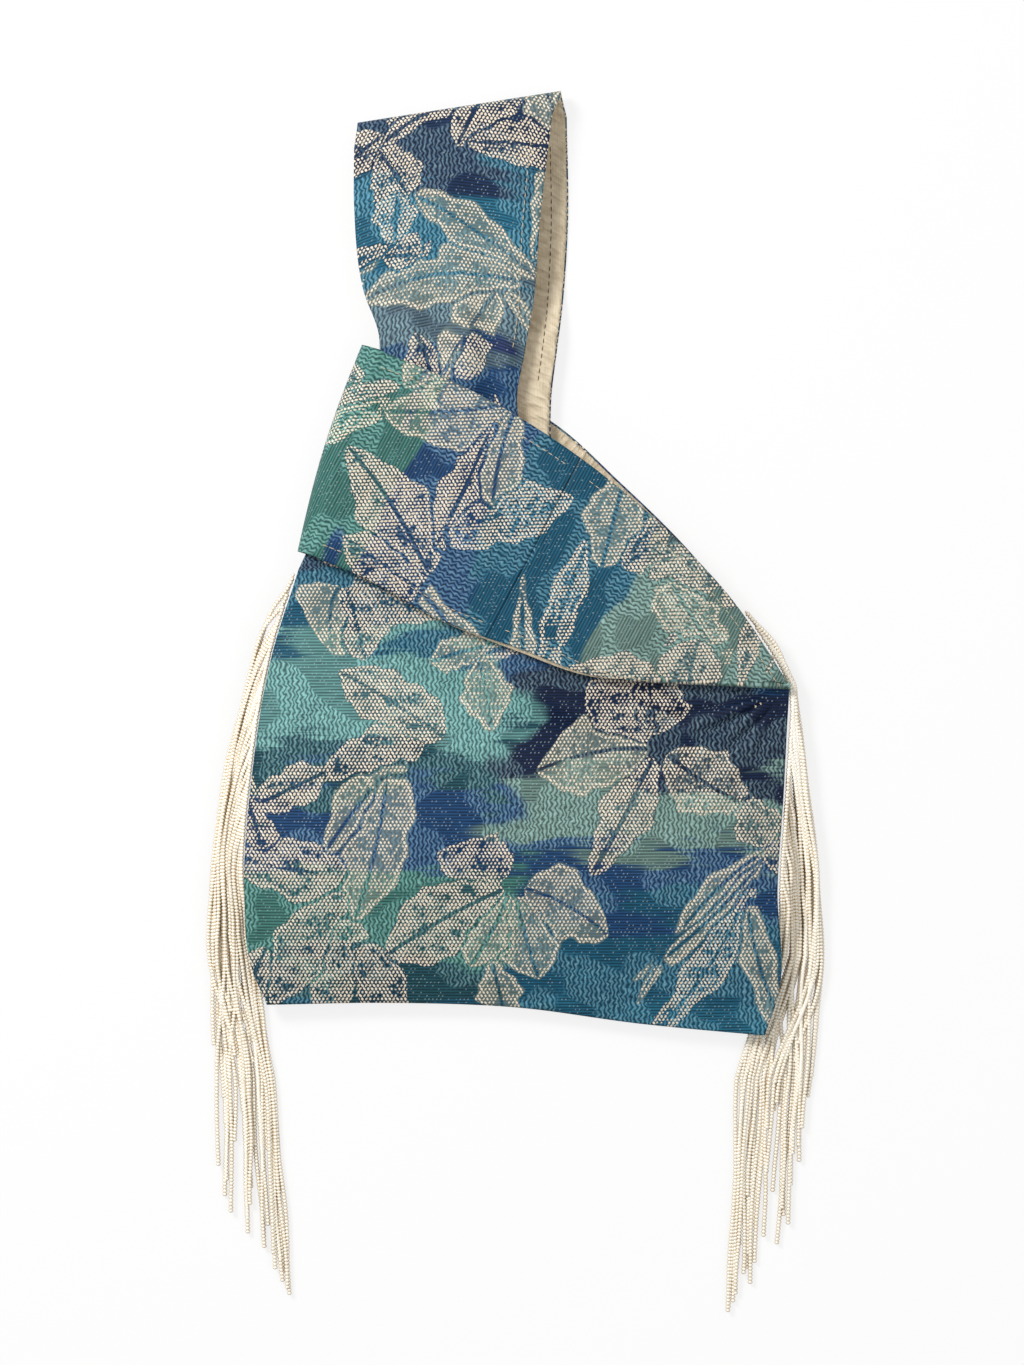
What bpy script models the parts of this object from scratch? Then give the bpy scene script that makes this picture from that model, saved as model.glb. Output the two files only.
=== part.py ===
"""Knot bag: a soft pouch with one long and one short handle loop, lying on its back.

The long handle is pulled through the wide short handle, which wraps round it as a band.
Four cloth panels (two of jacquard, two of lining) and two bead fringes make the bag.

Frame: metres. The bag lies on z = 0 with its front up (+Z). +Y runs up the bag to the
handles. The origin is the middle of the pouch's back, on the surface it lies on.
"""

import math

import bpy
import bmesh
import numpy as np

MM = 0.001

# Cloth
CLOTH = 0.9 * MM          # thickness of the jacquard
LINING = 0.5 * MM         # thickness of the lining
PLY_GAP = 0.3 * MM        # between the jacquard and its lining
SEAM_GAP = 1.8 * MM       # front to back along the sewn sides, between the two plies' middles
FOLD_STEP = 2.8 * MM      # from one folded layer to the next in the shoulder pleat
JOIN_GAP = 0.8 * MM       # between two panels where their handle ends are sewn together

# Pouch, flat sizes as it lies
POUCH_WIDTH = 234 * MM
POUCH_DROP = 71 * MM      # origin to the bottom left corner
BOTTOM_SLANT = 13.5 * MM  # how much lower the right corner lies
NECK_RISE = 122 * MM      # origin to the row where the handles part
SHOULDER_RISE = 68.6 * MM # origin to the right shoulder, where the band turns off
SIDE_HEIGHT = 12.8 * MM   # height of the side seams over the table
BOTTOM_HEIGHT = 6.5 * MM  # height of the bottom seam
PUFF = 13 * MM            # how far the front swells over its seams
LIP = 36 * MM             # width over which the back rises to the side seams

# Long handle
HANDLE_WIDTH = 87 * MM
HANDLE_RISE = 322 * MM    # origin to the middle of the top fold
HANDLE_LEAN = -28.5 * MM  # the strap's middle line lies this far to the right of the origin
STRAP_LEVEL = 12.4 * MM   # front strap over the table, inside the band
HANDLE_LEVEL = STRAP_LEVEL + 0.4 * MM

# Band, which is the short handle
BAND_LEVEL = STRAP_LEVEL + 2 * FOLD_STEP  # front run of the band, on the pleat's top layer
PLEAT_ANGLE = math.radians(31.5)
PLEAT_START = math.radians(2.8)   # direction of the pleat's open edge over the -X direction
PLEAT_REACH = 82 * MM     # pleat apex to the neckline
PLEAT_APEX = 12.2 * MM    # the apex lies this far past the right shoulder
HIDDEN_END = 23 * MM      # pleat apex to the outer end of its hidden crease
BAND_OVERLAP = 15 * MM    # the pouch's front is pressed flat from this far below the band
EASE = 30 * MM            # length over which a wall changes from one level to the next

# Bead fringe
STRAND = 2.1 * MM         # over the beads
STRAND_LENGTH = 199 * MM
LAYERS = 5                # strands lie this deep on the table
LANES = 5                 # and this many side by side beside the pouch
OUTER_LANES = 2           # the lanes that the upper strands fill first
LANE_PITCH = 2.5 * MM     # least distance between lanes
FRINGE_RUN_LEFT = 124 * MM    # stretch of the side seam that carries strands
FRINGE_RUN_RIGHT = 98 * MM
FRINGE_START_LEFT = 4 * MM
FRINGE_START_RIGHT = 20 * MM
LAYER_PITCH = 2.2 * MM
WIDEN = 12 * MM           # length over which the outer strands make way for the later ones
WIDEN_AHEAD_LEFT = 5 * MM     # they start this far above the first of those
WIDEN_AHEAD_RIGHT = 26 * MM
LEAN = 0.75               # how steeply a strand leaves the heading sideways
FALL = 0.85               # and how steeply it drops to its layer
HEADING = 2.4 * MM        # the sewn cord that carries the strands
HEADING_GAP = 0.4 * MM    # from the heading to the panels' edges
SHOULDER_GAP = 0.9 * MM   # the same on the right, where the heading rounds the pleated shoulder

# Grid of the panels
COLUMNS = 14
HANDLE_COLUMNS = 7        # columns that run on into the long handle
BAND_COLUMN = 8           # first column that runs on into the band
ROWS = 10
FOLD_SEGMENTS = 4

HALF = POUCH_WIDTH / 2
BACK_LEVEL = CLOTH + PLY_GAP / 2
BACK_FOLD_LEVEL = BACK_LEVEL + 2 * FOLD_STEP
SHOULDER_LEVEL = BACK_FOLD_LEVEL + SEAM_GAP
SHOULDER = (HALF + 2.8 * MM, SHOULDER_RISE)
APEX = (SHOULDER[0] + PLEAT_APEX, SHOULDER_RISE - 0.6 * MM)


def mm(*pairs):
    """Plan points written in millimetres, as an array in metres."""
    return np.array(pairs, dtype=float) * MM


def through(points, share):
    """Smooth curve through the points. share runs from 0 to 1 by chord length."""
    points = np.asarray(points, dtype=float)
    chords = np.linalg.norm(np.diff(points, axis=0), axis=1)
    knots = np.concatenate([[0.0], np.cumsum(chords)]) / chords.sum()
    slopes = np.gradient(points, knots, axis=0)
    share = np.atleast_1d(np.asarray(share, dtype=float))
    span = np.clip(np.searchsorted(knots, share, side="right") - 1, 0, len(knots) - 2)
    width = knots[span + 1] - knots[span]
    s = ((share - knots[span]) / width)[:, None]
    width = width[:, None]
    return ((2 * s**3 - 3 * s**2 + 1) * points[span]
            + (s**3 - 2 * s**2 + s) * width * slopes[span]
            + (3 * s**2 - 2 * s**3) * points[span + 1]
            + (s**3 - s**2) * width * slopes[span + 1])


def steps(count):
    """Evenly spaced shares from 0 to 1."""
    return np.linspace(0.0, 1.0, count)


def smooth_step(value):
    """0 below 0, 1 above 1, and a soft ramp between."""
    value = np.clip(value, 0.0, 1.0)
    return value * value * (3 - 2 * value)


# Outlines in plan
LEFT_SEAM = np.array([(-HALF + 7 * MM, -POUCH_DROP),
                      (-HALF + 0.5 * MM, -POUCH_DROP + 16 * MM),
                      (-HALF - 2.5 * MM, -20 * MM),
                      (-HALF + 1 * MM, 30 * MM),
                      (-HALF + 9.5 * MM, NECK_RISE - 40 * MM),
                      (-HALF + 21 * MM, NECK_RISE - 2 * MM)])
RIGHT_SEAM = np.array([(HALF - 8 * MM, -POUCH_DROP - BOTTOM_SLANT),
                       (HALF - 2 * MM, -POUCH_DROP - BOTTOM_SLANT + 19.5 * MM),
                       (HALF - 3 * MM, -20 * MM),
                       (HALF, 25 * MM),
                       SHOULDER])
BOTTOM_SEAM = np.array([LEFT_SEAM[0],
                        (-60 * MM, -POUCH_DROP + 1 * MM),
                        (0, -POUCH_DROP - 1 * MM),
                        (54 * MM, -POUCH_DROP - 0.6 * BOTTOM_SLANT),
                        RIGHT_SEAM[0]])
NECK_LEFT = (38 * MM, NECK_RISE + 2 * MM)
NECK_RIGHT = (46 * MM, NECK_RISE - 4 * MM)

# The band's two edges, from the right shoulder to the fold at its left
FOLD_TOP = (-67.3 * MM, SHOULDER_RISE + 150 * MM)
FOLD_BOTTOM = (-95.5 * MM, NECK_RISE + 6 * MM)


def pleat_ray(angle, reach):
    """Point at a distance from the pleat's apex, at an angle over the -X direction."""
    return np.array([APEX[0] - reach * math.cos(angle), APEX[1] + reach * math.sin(angle)])


NECK_END = pleat_ray(PLEAT_START, PLEAT_REACH)
LOWER_EDGE = np.vstack([[NECK_END], mm((37, 73), (1.3, 85.3), (-29.9, 96.3), (-70, 117.9)),
                        [FOLD_BOTTOM]])
UPPER_EDGE = np.vstack([[SHOULDER], mm((110, 84.4), (95.9, 104.8), (73.9, 129.3), (47.5, 153.5),
                                       (13.2, 179), (-28, 202.5)), [FOLD_TOP]])
BACK_UPPER_EDGE = np.vstack([[SHOULDER], mm((110, 84.4), (95.9, 104.8), (73.9, 131), (46.2, 158.3),
                                            (15, 186), (-28, 206)), [FOLD_TOP]])
# Where the two ends of the band are sewn together, on its front run
JOIN_UPPER = mm((28, 168.5))[0]
JOIN_LOWER = mm((-13, 91))[0]


def handle_edges(back):
    """Left and right edge of one strap of the long handle, from the neck row to its top fold."""
    middle = HANDLE_LEAN
    shift = 6.5 * MM if back else 0.0
    left = middle + shift * 0.5 - HANDLE_WIDTH / 2
    right = middle + shift + HANDLE_WIDTH / 2
    low = HANDLE_RISE - 22 * MM
    waist = HANDLE_RISE - 114 * MM
    left_edge = np.array([LEFT_SEAM[-1], (-87 * MM, NECK_RISE + 18 * MM), (-75 * MM, NECK_RISE + 53 * MM),
                          (-61 * MM, waist), (-60.5 * MM, waist + 14 * MM),
                          (left + 4.5 * MM, waist + 35 * MM), (left + 0.5 * MM, waist + 72 * MM),
                          (left + 0.5 * MM, low + 5 * MM)])
    pull = 10 * MM if back else 0.0
    right_edge = np.array([NECK_LEFT, (22 * MM + pull / 2, NECK_RISE + 22 * MM),
                           (6 * MM + pull, NECK_RISE + 48 * MM), (pull * 1.5, waist - 15 * MM),
                           (3.5 * MM + pull * 1.4, waist + 8 * MM), (7 * MM + pull * 1.3, waist + 28 * MM),
                           (right - 5 * MM, waist + 64 * MM), (right + 0.5 * MM, low + 20 * MM)])
    return left_edge, right_edge


def lower_edge_height(x):
    """Y of the band's lower edge at a given X."""
    edge = through(LOWER_EDGE, steps(40))
    edge = np.vstack([[SHOULDER], edge])[::-1]
    return np.interp(x, edge[:, 0], edge[:, 1])


def neck_row():
    """The row of points where the pouch passes into its handles."""
    handle = np.linspace(LEFT_SEAM[-1], NECK_LEFT, HANDLE_COLUMNS + 1)
    band = np.linspace(NECK_RIGHT, SHOULDER, COLUMNS - BAND_COLUMN + 1)
    return np.vstack([handle, band])


def pouch_plan():
    """Plan points of the pouch, blended from its four edges (a Coons patch)."""
    u = steps(COLUMNS + 1)[None, :, None]
    v = steps(ROWS + 1)[:, None, None]
    left = through(LEFT_SEAM, steps(ROWS + 1))[:, None]
    right = through(RIGHT_SEAM, steps(ROWS + 1))[:, None]
    bottom = through(BOTTOM_SEAM, steps(COLUMNS + 1))[None]
    top = neck_row()[None]
    corners = ((1 - u) * (1 - v) * bottom[:, :1] + u * (1 - v) * bottom[:, -1:]
               + (1 - u) * v * top[:, :1] + u * v * top[:, -1:])
    return (1 - v) * bottom + v * top + (1 - u) * left + u * right - corners


def front_level(x):
    """Height of the front wall under the band, lower towards the right shoulder."""
    toward_shoulder = np.clip((x - NECK_END[0]) / (SHOULDER[0] - NECK_END[0]), 0, 1)
    return STRAP_LEVEL + (SHOULDER_LEVEL - STRAP_LEVEL) * toward_shoulder


def seam_heights(back):
    """Height of the left, right, bottom and top edges of one pouch wall."""
    drop = SEAM_GAP / 2
    sign = -1 if back else 1
    v = steps(ROWS + 1)
    low = BOTTOM_HEIGHT + 2 * MM
    neck = BACK_FOLD_LEVEL if back else STRAP_LEVEL
    shoulder = BACK_FOLD_LEVEL if back else SHOULDER_LEVEL
    side = SIDE_HEIGHT + sign * drop
    left = np.interp(v, [0, 0.3, 0.62, 0.85, 1], [low + sign * drop, side, side, 0.5 * (side + neck), neck])
    right = np.interp(v, [0, 0.3, 0.58, 0.76, 1], [low + sign * drop, side, side, shoulder, shoulder])
    u = steps(COLUMNS + 1)
    bottom = BOTTOM_HEIGHT + 2 * MM * (2 * u - 1) ** 2 + sign * drop
    top = np.full(COLUMNS + 1, BACK_FOLD_LEVEL) if back else front_level(neck_row()[:, 0])
    return left, right, bottom, top


def front_heights(plan):
    """The front swells between its seams and is pressed flat under the band."""
    left, right, bottom, top = seam_heights(back=False)
    u = steps(COLUMNS + 1)[None, :]
    v = steps(ROWS + 1)[:, None]
    left, right, bottom, top = left[:, None], right[:, None], bottom[None], top[None]
    corners = ((1 - u) * (1 - v) * left[0] + u * (1 - v) * right[0]
               + (1 - u) * v * left[-1] + u * v * right[-1])
    base = (1 - v) * bottom + v * top + (1 - u) * left + u * right - corners
    rim = lower_edge_height(plan[..., 0]) - BAND_OVERLAP
    floor = np.interp(plan[..., 0], BOTTOM_SEAM[:, 0], BOTTOM_SEAM[:, 1])
    down = np.clip((rim - plan[..., 1]) / (rim - floor), 0, 1)
    swollen = base + PUFF * (1 - np.abs(2 * u - 1) ** 3) * np.sin(np.pi * down**0.75) ** 0.9
    pressed = smooth_step((plan[..., 1] - rim + BAND_OVERLAP) / BAND_OVERLAP)
    return swollen + (front_level(plan[..., 0]) - swollen) * pressed


def back_heights(plan):
    """The back lies flat, and rises to its seams and over the band."""
    left, right, bottom, top = seam_heights(back=True)
    x, y = plan[..., 0], plan[..., 1]

    def lip(height, distance):
        return (height - BACK_LEVEL) * np.clip(1 - distance / LIP, 0, 1) ** 1.3

    rise = np.maximum(lip(left[:, None], x - x[:, :1]), lip(right[:, None], x[:, -1:] - x))
    rise = np.maximum(rise, lip(bottom[None], y - y[:1]))
    under_band = smooth_step((y - lower_edge_height(x) + EASE + 4 * MM) / EASE)
    return BACK_LEVEL + np.maximum(rise, (BACK_FOLD_LEVEL - BACK_LEVEL) * under_band)


def pouch_wall(back):
    """Grid of points of one pouch wall, rows from the bottom seam up."""
    plan = pouch_plan()
    heights = back_heights(plan) if back else front_heights(plan)
    heights[-1] = seam_heights(back)[3]
    return np.concatenate([plan, heights[..., None]], axis=2)


def rows_between(first, second, count, height):
    """Straight rows whose ends follow two edge curves. height gives Z for each row and column."""
    s = steps(count)[None, :, None]
    plan = first[:, None] * (1 - s) + second[:, None] * s
    return np.concatenate([plan, np.broadcast_to(height, plan.shape[:2])[..., None]], axis=2)


def handle_strap(back):
    """One strap of the long handle, from the neck row to the seam on the top fold."""
    left_edge, right_edge = handle_edges(back)
    count = 13
    share = steps(count)[1:]
    left, right = through(left_edge, share), through(right_edge, share)
    y = 0.5 * (left[:, 1] + right[:, 1])
    if back:
        out_of_band = smooth_step((y - FOLD_TOP[1] + 4 * MM) / EASE)
        level = BACK_FOLD_LEVEL + (BACK_LEVEL - BACK_FOLD_LEVEL) * out_of_band
    else:
        level = STRAP_LEVEL + (HANDLE_LEVEL - STRAP_LEVEL) * smooth_step((y - FOLD_TOP[1]) / EASE)
    run = rows_between(left, right, HANDLE_COLUMNS + 1, level[:, None])
    radius = (HANDLE_LEVEL - BACK_LEVEL) / 2
    last = run[-1]
    along = last[-1, :2] - last[0, :2]
    up = np.array([-along[1], along[0]]) / np.linalg.norm(along)
    half_gap = 0.5 * JOIN_GAP / radius
    turn = np.linspace(0, math.pi / 2 - half_gap, FOLD_SEGMENTS + 1)[1:]
    sign = -1 if back else 1
    middle = BACK_LEVEL + radius
    top = handle_top()
    fold = []
    for angle in turn:
        blend = 1 - math.cos(angle)
        start = last[:, :2] + (top - radius * up - last[:, :2]) * math.sin(angle)
        plan = start * (1 - blend) + (top - radius * up) * blend + up * radius * math.sin(angle)
        fold.append(np.column_stack([plan, np.full(len(plan), middle + sign * radius * math.cos(angle))]))
    return np.concatenate([run, np.array(fold)])


def handle_top():
    """Crest line of the long handle's top fold, from left to right."""
    left = (HANDLE_LEAN - HANDLE_WIDTH / 2 + 2 * MM, HANDLE_RISE - 6 * MM)
    right = (HANDLE_LEAN + HANDLE_WIDTH / 2 + 4.5 * MM, HANDLE_RISE + 8 * MM)
    return np.linspace(left, right, HANDLE_COLUMNS + 1)


def pleat_rows(back):
    """The shoulder pleat: up to its hidden crease, back down to its open edge, and up again."""
    count = COLUMNS - BAND_COLUMN + 1
    across = steps(count)
    sign = -1 if back else 1
    radius = FOLD_STEP / 2
    hidden = PLEAT_START + PLEAT_ANGLE
    rows = []
    for angle, outer_reach, side, step in ((hidden, HIDDEN_END, 1, 0), (PLEAT_START, PLEAT_APEX, -1, 2)):
        reach = PLEAT_REACH + (outer_reach - PLEAT_REACH) * across
        ray = np.array([pleat_ray(angle, r) for r in reach])
        over = np.array([math.sin(angle), math.cos(angle)]) * side
        base = ray - over * radius
        for turn in np.linspace(0, math.pi, FOLD_SEGMENTS + 1):
            plan = base + over * radius * math.sin(turn)
            level = np.full(count, BACK_FOLD_LEVEL) if back else front_level(ray[:, 0])
            height = level + sign * radius * (step + 1 - math.cos(turn))
            rows.append(np.column_stack([plan, height]))
        if side == 1:
            crease_end = rows[-1]
    first_open = FOLD_SEGMENTS + 1
    between = 0.5 * (crease_end + rows[first_open])
    return rows[:first_open] + [between] + rows[first_open:]


def fold_line():
    """The band's left fold seen from above, from its lower end to its upper end."""
    count = COLUMNS - BAND_COLUMN + 1
    share = steps(count)
    line = np.array(FOLD_BOTTOM) * (1 - share[:, None]) + np.array(FOLD_TOP) * share[:, None]
    run = np.array(FOLD_TOP) - np.array(FOLD_BOTTOM)
    inward = np.array([run[1], -run[0]]) / np.linalg.norm(run)
    return line - inward * 2.5 * MM * np.sin(np.pi * share)[:, None], inward


def share_at(edge, point):
    """Share of a curve's length at which it passes nearest to a point."""
    share = steps(400)
    return share[np.argmin(np.linalg.norm(through(edge, share) - point, axis=1))]


def band_run(lower, upper, count, start_level, end_level):
    """Rows of the band from one pair of edge stretches, without its first row."""
    share = steps(count)[1:]
    columns = COLUMNS - BAND_COLUMN + 1
    ramp = smooth_step(2.2 * share)[:, None]
    height = start_level[None] * (1 - ramp) + end_level * ramp
    return rows_between(lower(share), upper(share), columns, height)


def front_band():
    """The band's front end, from the shoulder pleat to the seam across the band."""
    pleat = pleat_rows(back=False)
    stop_low = share_at(LOWER_EDGE, JOIN_LOWER)
    stop_high = share_at(UPPER_EDGE, JOIN_UPPER)
    run = band_run(lambda s: through(LOWER_EDGE, s * stop_low),
                   lambda s: through(UPPER_EDGE, s * stop_high),
                   9, pleat[-1][:, 2], BAND_LEVEL)
    across = JOIN_UPPER - JOIN_LOWER
    back_off = np.array([across[1], -across[0]]) / np.linalg.norm(across) * JOIN_GAP
    run[-1, :, :2] += back_off
    return np.concatenate([np.array(pleat), run])


def back_band():
    """The band's back end: under the bag, round the left fold, and to the seam across the band."""
    pleat = pleat_rows(back=True)
    line, inward = fold_line()
    radius = (BAND_LEVEL - BACK_LEVEL) / 2
    base = line + inward * radius
    low_stop = share_at(LOWER_EDGE, base[0])
    high_stop = share_at(BACK_UPPER_EDGE, base[-1])
    under = band_run(lambda s: through(LOWER_EDGE, s * low_stop),
                     lambda s: through(BACK_UPPER_EDGE, s * high_stop),
                     11, pleat[-1][:, 2], BACK_LEVEL)
    under[-1, :, :2] = base
    fold = []
    for turn in np.linspace(0, math.pi, 7)[1:]:
        plan = base - inward * radius * math.sin(turn)
        height = BACK_LEVEL + radius * (1 - math.cos(turn))
        fold.append(np.column_stack([plan, np.full(len(plan), height)]))
    join_low = share_at(LOWER_EDGE, JOIN_LOWER)
    join_high = share_at(UPPER_EDGE, JOIN_UPPER)
    top_stop = share_at(UPPER_EDGE, base[-1])
    over = band_run(lambda s: through(LOWER_EDGE, low_stop + s * (join_low - low_stop)),
                    lambda s: through(UPPER_EDGE, top_stop + s * (join_high - top_stop)),
                    7, fold[-1][:, 2], BAND_LEVEL)
    return np.concatenate([np.array(pleat), under, np.array(fold), over])


def panel_surface(back):
    """Points and faces of a whole panel: pouch wall, strap and band end in one open surface."""
    points, faces = [], []

    def add(rows):
        first = len(points)
        points.extend(rows.reshape(-1, 3))
        return np.arange(first, first + rows.shape[0] * rows.shape[1]).reshape(rows.shape[:2])

    def weave(index):
        low_left, low_right = index[:-1, :-1], index[:-1, 1:]
        high_left, high_right = index[1:, :-1], index[1:, 1:]
        faces.extend(np.stack([low_left, low_right, high_right, high_left], axis=2).reshape(-1, 4).tolist())

    pouch = add(pouch_wall(back))
    strap = add(handle_strap(back))
    band = add(back_band() if back else front_band())
    weave(pouch)
    weave(np.vstack([pouch[-1:, :HANDLE_COLUMNS + 1], strap]))
    weave(np.vstack([pouch[-1:, BAND_COLUMN:], band]))
    if back:
        faces = [face[::-1] for face in faces]
    return np.array(points), faces


def finish(name, colour, roughness):
    """A plain material."""
    material = bpy.data.materials.new(name)
    material.use_nodes = True
    shader = material.node_tree.nodes["Principled BSDF"]
    shader.inputs["Base Color"].default_value = (*colour, 1.0)
    shader.inputs["Roughness"].default_value = roughness
    shader.inputs["Metallic"].default_value = 0.0
    return material


def panel(name, collection, material, back, lining):
    """One ply of cloth: the panel's surface moved off the middle, and thickened away from it."""
    points, faces = panel_surface(back)
    mesh = bpy.data.meshes.new(name)
    mesh.from_pydata(points.tolist(), [], faces)
    mesh.update()
    side = -1 if lining else 1
    normals = np.array([vertex.normal[:] for vertex in mesh.vertices])
    moved = points + side * 0.5 * PLY_GAP * normals
    mesh.vertices.foreach_set("co", moved.ravel())
    mesh.update()
    mesh.materials.append(material)
    piece = bpy.data.objects.new(name, mesh)
    collection.objects.link(piece)
    wall = piece.modifiers.new("thickness", "SOLIDIFY")
    wall.thickness = LINING if lining else CLOTH
    wall.offset = side
    for face in mesh.polygons:
        face.use_smooth = True
    return piece


# Fringe: outer and inner side of each hanging bundle, from its top to its tips. X counts from the
# pouch's nominal side.
LEFT_SIDE = np.array((-HALF, 0))
RIGHT_SIDE = np.array((HALF, 0))
LEFT_OUTER = LEFT_SIDE + mm((17, 128), (5.5, 101), (-6, 76), (-14, 50), (-17.5, 20), (-19, -20),
                            (-19, -70), (-14.5, -135), (-6, -210))
LEFT_INNER = LEFT_SIDE + mm((5.5, -76), (10.5, -110), (13, -160), (16, -210))
RIGHT_OUTER = RIGHT_SIDE + mm((-2, 92), (7.5, 70), (14, 45), (17, 5), (18, -35), (15.5, -88),
                              (8, -150), (-5, -216))
RIGHT_INNER = RIGHT_SIDE + mm((-9, -84), (-16, -110), (-21.5, -150), (-25, -216))
RIGHT_INNER_LOW = RIGHT_SIDE + mm((-6, -50), (-18, -84), (-21, -110), (-22.5, -150), (-26, -216))
FRINGE_LEVELS = np.array([95, 80, 62, 45, 10, -25, -58, -76, -105, -150]) * MM


def seam_path(right):
    """The heading's path along a side seam: plan points from the top of the fringe down."""
    seam = RIGHT_SEAM if right else LEFT_SEAM
    share = steps(60)[::-1]
    plan = through(seam, share)
    if right:
        shoulder_edge = through(UPPER_EDGE, np.linspace(share_at(UPPER_EDGE, mm((107, 89))[0]), 0.004, 8))
        plan = np.vstack([shoulder_edge, plan])
    along = np.gradient(plan, axis=0)
    along /= np.linalg.norm(along, axis=1)[:, None]
    outward = np.column_stack([-along[:, 1], along[:, 0]]) * (1 if right else -1)
    clear = SHOULDER_GAP if right else HEADING_GAP
    plan = plan + outward * (HEADING / 2 + clear)
    travelled = np.concatenate([[0], np.cumsum(np.linalg.norm(np.diff(plan, axis=0), axis=1))])
    height = heading_height(plan[:, 1], right)
    return travelled, np.column_stack([plan, height])


def heading_height(y, right):
    """Height of the side seam at a given Y."""
    low = BOTTOM_HEIGHT + 2 * MM
    if right:
        top = 0.5 * (BACK_FOLD_LEVEL + SHOULDER_LEVEL)
        return np.interp(y, [-80 * MM, -35 * MM, 5 * MM, 32 * MM], [low, SIDE_HEIGHT, SIDE_HEIGHT, top])
    top = 0.5 * (BACK_FOLD_LEVEL + STRAP_LEVEL)
    middle = 0.5 * (SIDE_HEIGHT + top)
    return np.interp(y, [-70 * MM, -20 * MM, 45 * MM, 90 * MM, NECK_RISE],
                     [low, SIDE_HEIGHT, SIDE_HEIGHT, middle, top])


def strand_place(number):
    """Layer and lane of a strand. The upper strands fill the outer lanes, layer by layer."""
    first = LAYERS * OUTER_LANES
    if number < first:
        return divmod(number, OUTER_LANES)
    layer, lane = divmod(number - first, LANES - OUTER_LANES)
    return layer, lane + OUTER_LANES


def strand_route(number, right):
    """Points of one strand: off the heading, over the strands below it, and down its lane.

    Each strand leans out to its lane and drops to its layer. In a layer the strands sewn on
    higher lie further out, so no two cross. Below the outer strands' ends the others spread.
    """
    travelled, path = seam_path(right)
    pitch = (FRINGE_RUN_RIGHT if right else FRINGE_RUN_LEFT) / (LAYERS * LANES - 1)
    first = FRINGE_START_RIGHT if right else FRINGE_START_LEFT
    layer, lane = strand_place(number)
    outward = 1 if right else -1
    inner = RIGHT_INNER_LOW if right and layer < 2 else RIGHT_INNER if right else LEFT_INNER
    inner = inner[::-1]
    below = inner[-1, 1]
    outer = through(RIGHT_OUTER if right else LEFT_OUTER, steps(80))[::-1]

    def sewn(strand):
        return np.array([np.interp(first + pitch * strand, travelled, path[:, axis]) for axis in range(3)])

    def lane_offset(y):
        """How far outside the heading the strand's lane lies."""
        side = np.interp(y, path[::-1, 1], path[::-1, 0])
        inner_x = np.where(y > below, side + outward * HEADING / 2, np.interp(y, inner[:, 1], inner[:, 0]))
        outer_x = np.interp(y, outer[:, 1], outer[:, 0])
        later = sewn(LAYERS * OUTER_LANES)[1]
        ahead = WIDEN_AHEAD_RIGHT if right else WIDEN_AHEAD_LEFT
        lanes = OUTER_LANES + (LANES - OUTER_LANES) * smooth_step((later + ahead - y) / WIDEN)
        room = side + outward * (lanes * LANE_PITCH + HEADING)
        outer_x = outward * np.maximum(outward * outer_x, outward * room)
        lane_pitch = np.maximum(np.abs(outer_x - inner_x) / LANES, LANE_PITCH)
        tip = sewn((layer + 1) * OUTER_LANES - 1)[1] - STRAND_LENGTH
        spread = smooth_step((tip - y) / (40 * MM)) if lane >= OUTER_LANES else 0.0
        wide = (lane - OUTER_LANES + 0.5) * LANES / (LANES - OUTER_LANES)
        place = (lane + 0.5) * (1 - spread) + wide * spread
        stagger = ((layer * 2) % LAYERS / LAYERS - 0.4) * (lane_pitch - LANE_PITCH)
        return side, outward * (outer_x - side) - place * lane_pitch - stagger

    start = sewn(number)
    bottom = STRAND / 2 + 0.1 * MM + layer * LAYER_PITCH
    fine = np.linspace(0, 60 * MM, 241)
    side, offset = lane_offset(start[1] - fine)
    settled = fine[np.argmax(LEAN * fine >= np.abs(offset))]
    height = start[2] - bottom
    landed = abs(height) / FALL
    levels = start[1] - FRINGE_LEVELS
    levels = levels[(levels > max(settled, landed) + 5 * MM) & (levels < STRAND_LENGTH - 8 * MM)]
    drop = np.concatenate([[0], np.sort([settled, landed]), levels, [0.99 * STRAND_LENGTH]])
    y = start[1] - drop
    side, offset = lane_offset(y)
    lean = np.where(drop < settled, LEAN * drop, offset)
    left_to_fall = height * np.clip(1 - drop / max(landed, 1e-6), 0, 1)
    return np.column_stack([side + outward * lean, y, bottom + left_to_fall])


def tube(name, routes, radius, sides_level):
    """Round rods along the given routes, as one closed mesh for each route."""
    curve = bpy.data.curves.new(name, "CURVE")
    curve.dimensions = "3D"
    curve.bevel_depth = radius
    curve.bevel_resolution = sides_level
    curve.use_fill_caps = True
    for route in routes:
        spline = curve.splines.new("POLY")
        spline.points.add(len(route) - 1)
        spline.points.foreach_set("co", np.column_stack([route, np.ones(len(route))]).ravel())
    guide = bpy.data.objects.new(name, curve)
    bpy.context.scene.collection.objects.link(guide)
    solid = bpy.data.meshes.new_from_object(guide.evaluated_get(bpy.context.evaluated_depsgraph_get()))
    bpy.data.objects.remove(guide)
    bpy.data.curves.remove(curve)
    work = bmesh.new()
    work.from_mesh(solid)
    bmesh.ops.remove_doubles(work, verts=work.verts, dist=1e-6)
    bmesh.ops.recalc_face_normals(work, faces=work.faces)
    work.to_mesh(solid)
    work.free()
    return solid


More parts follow.
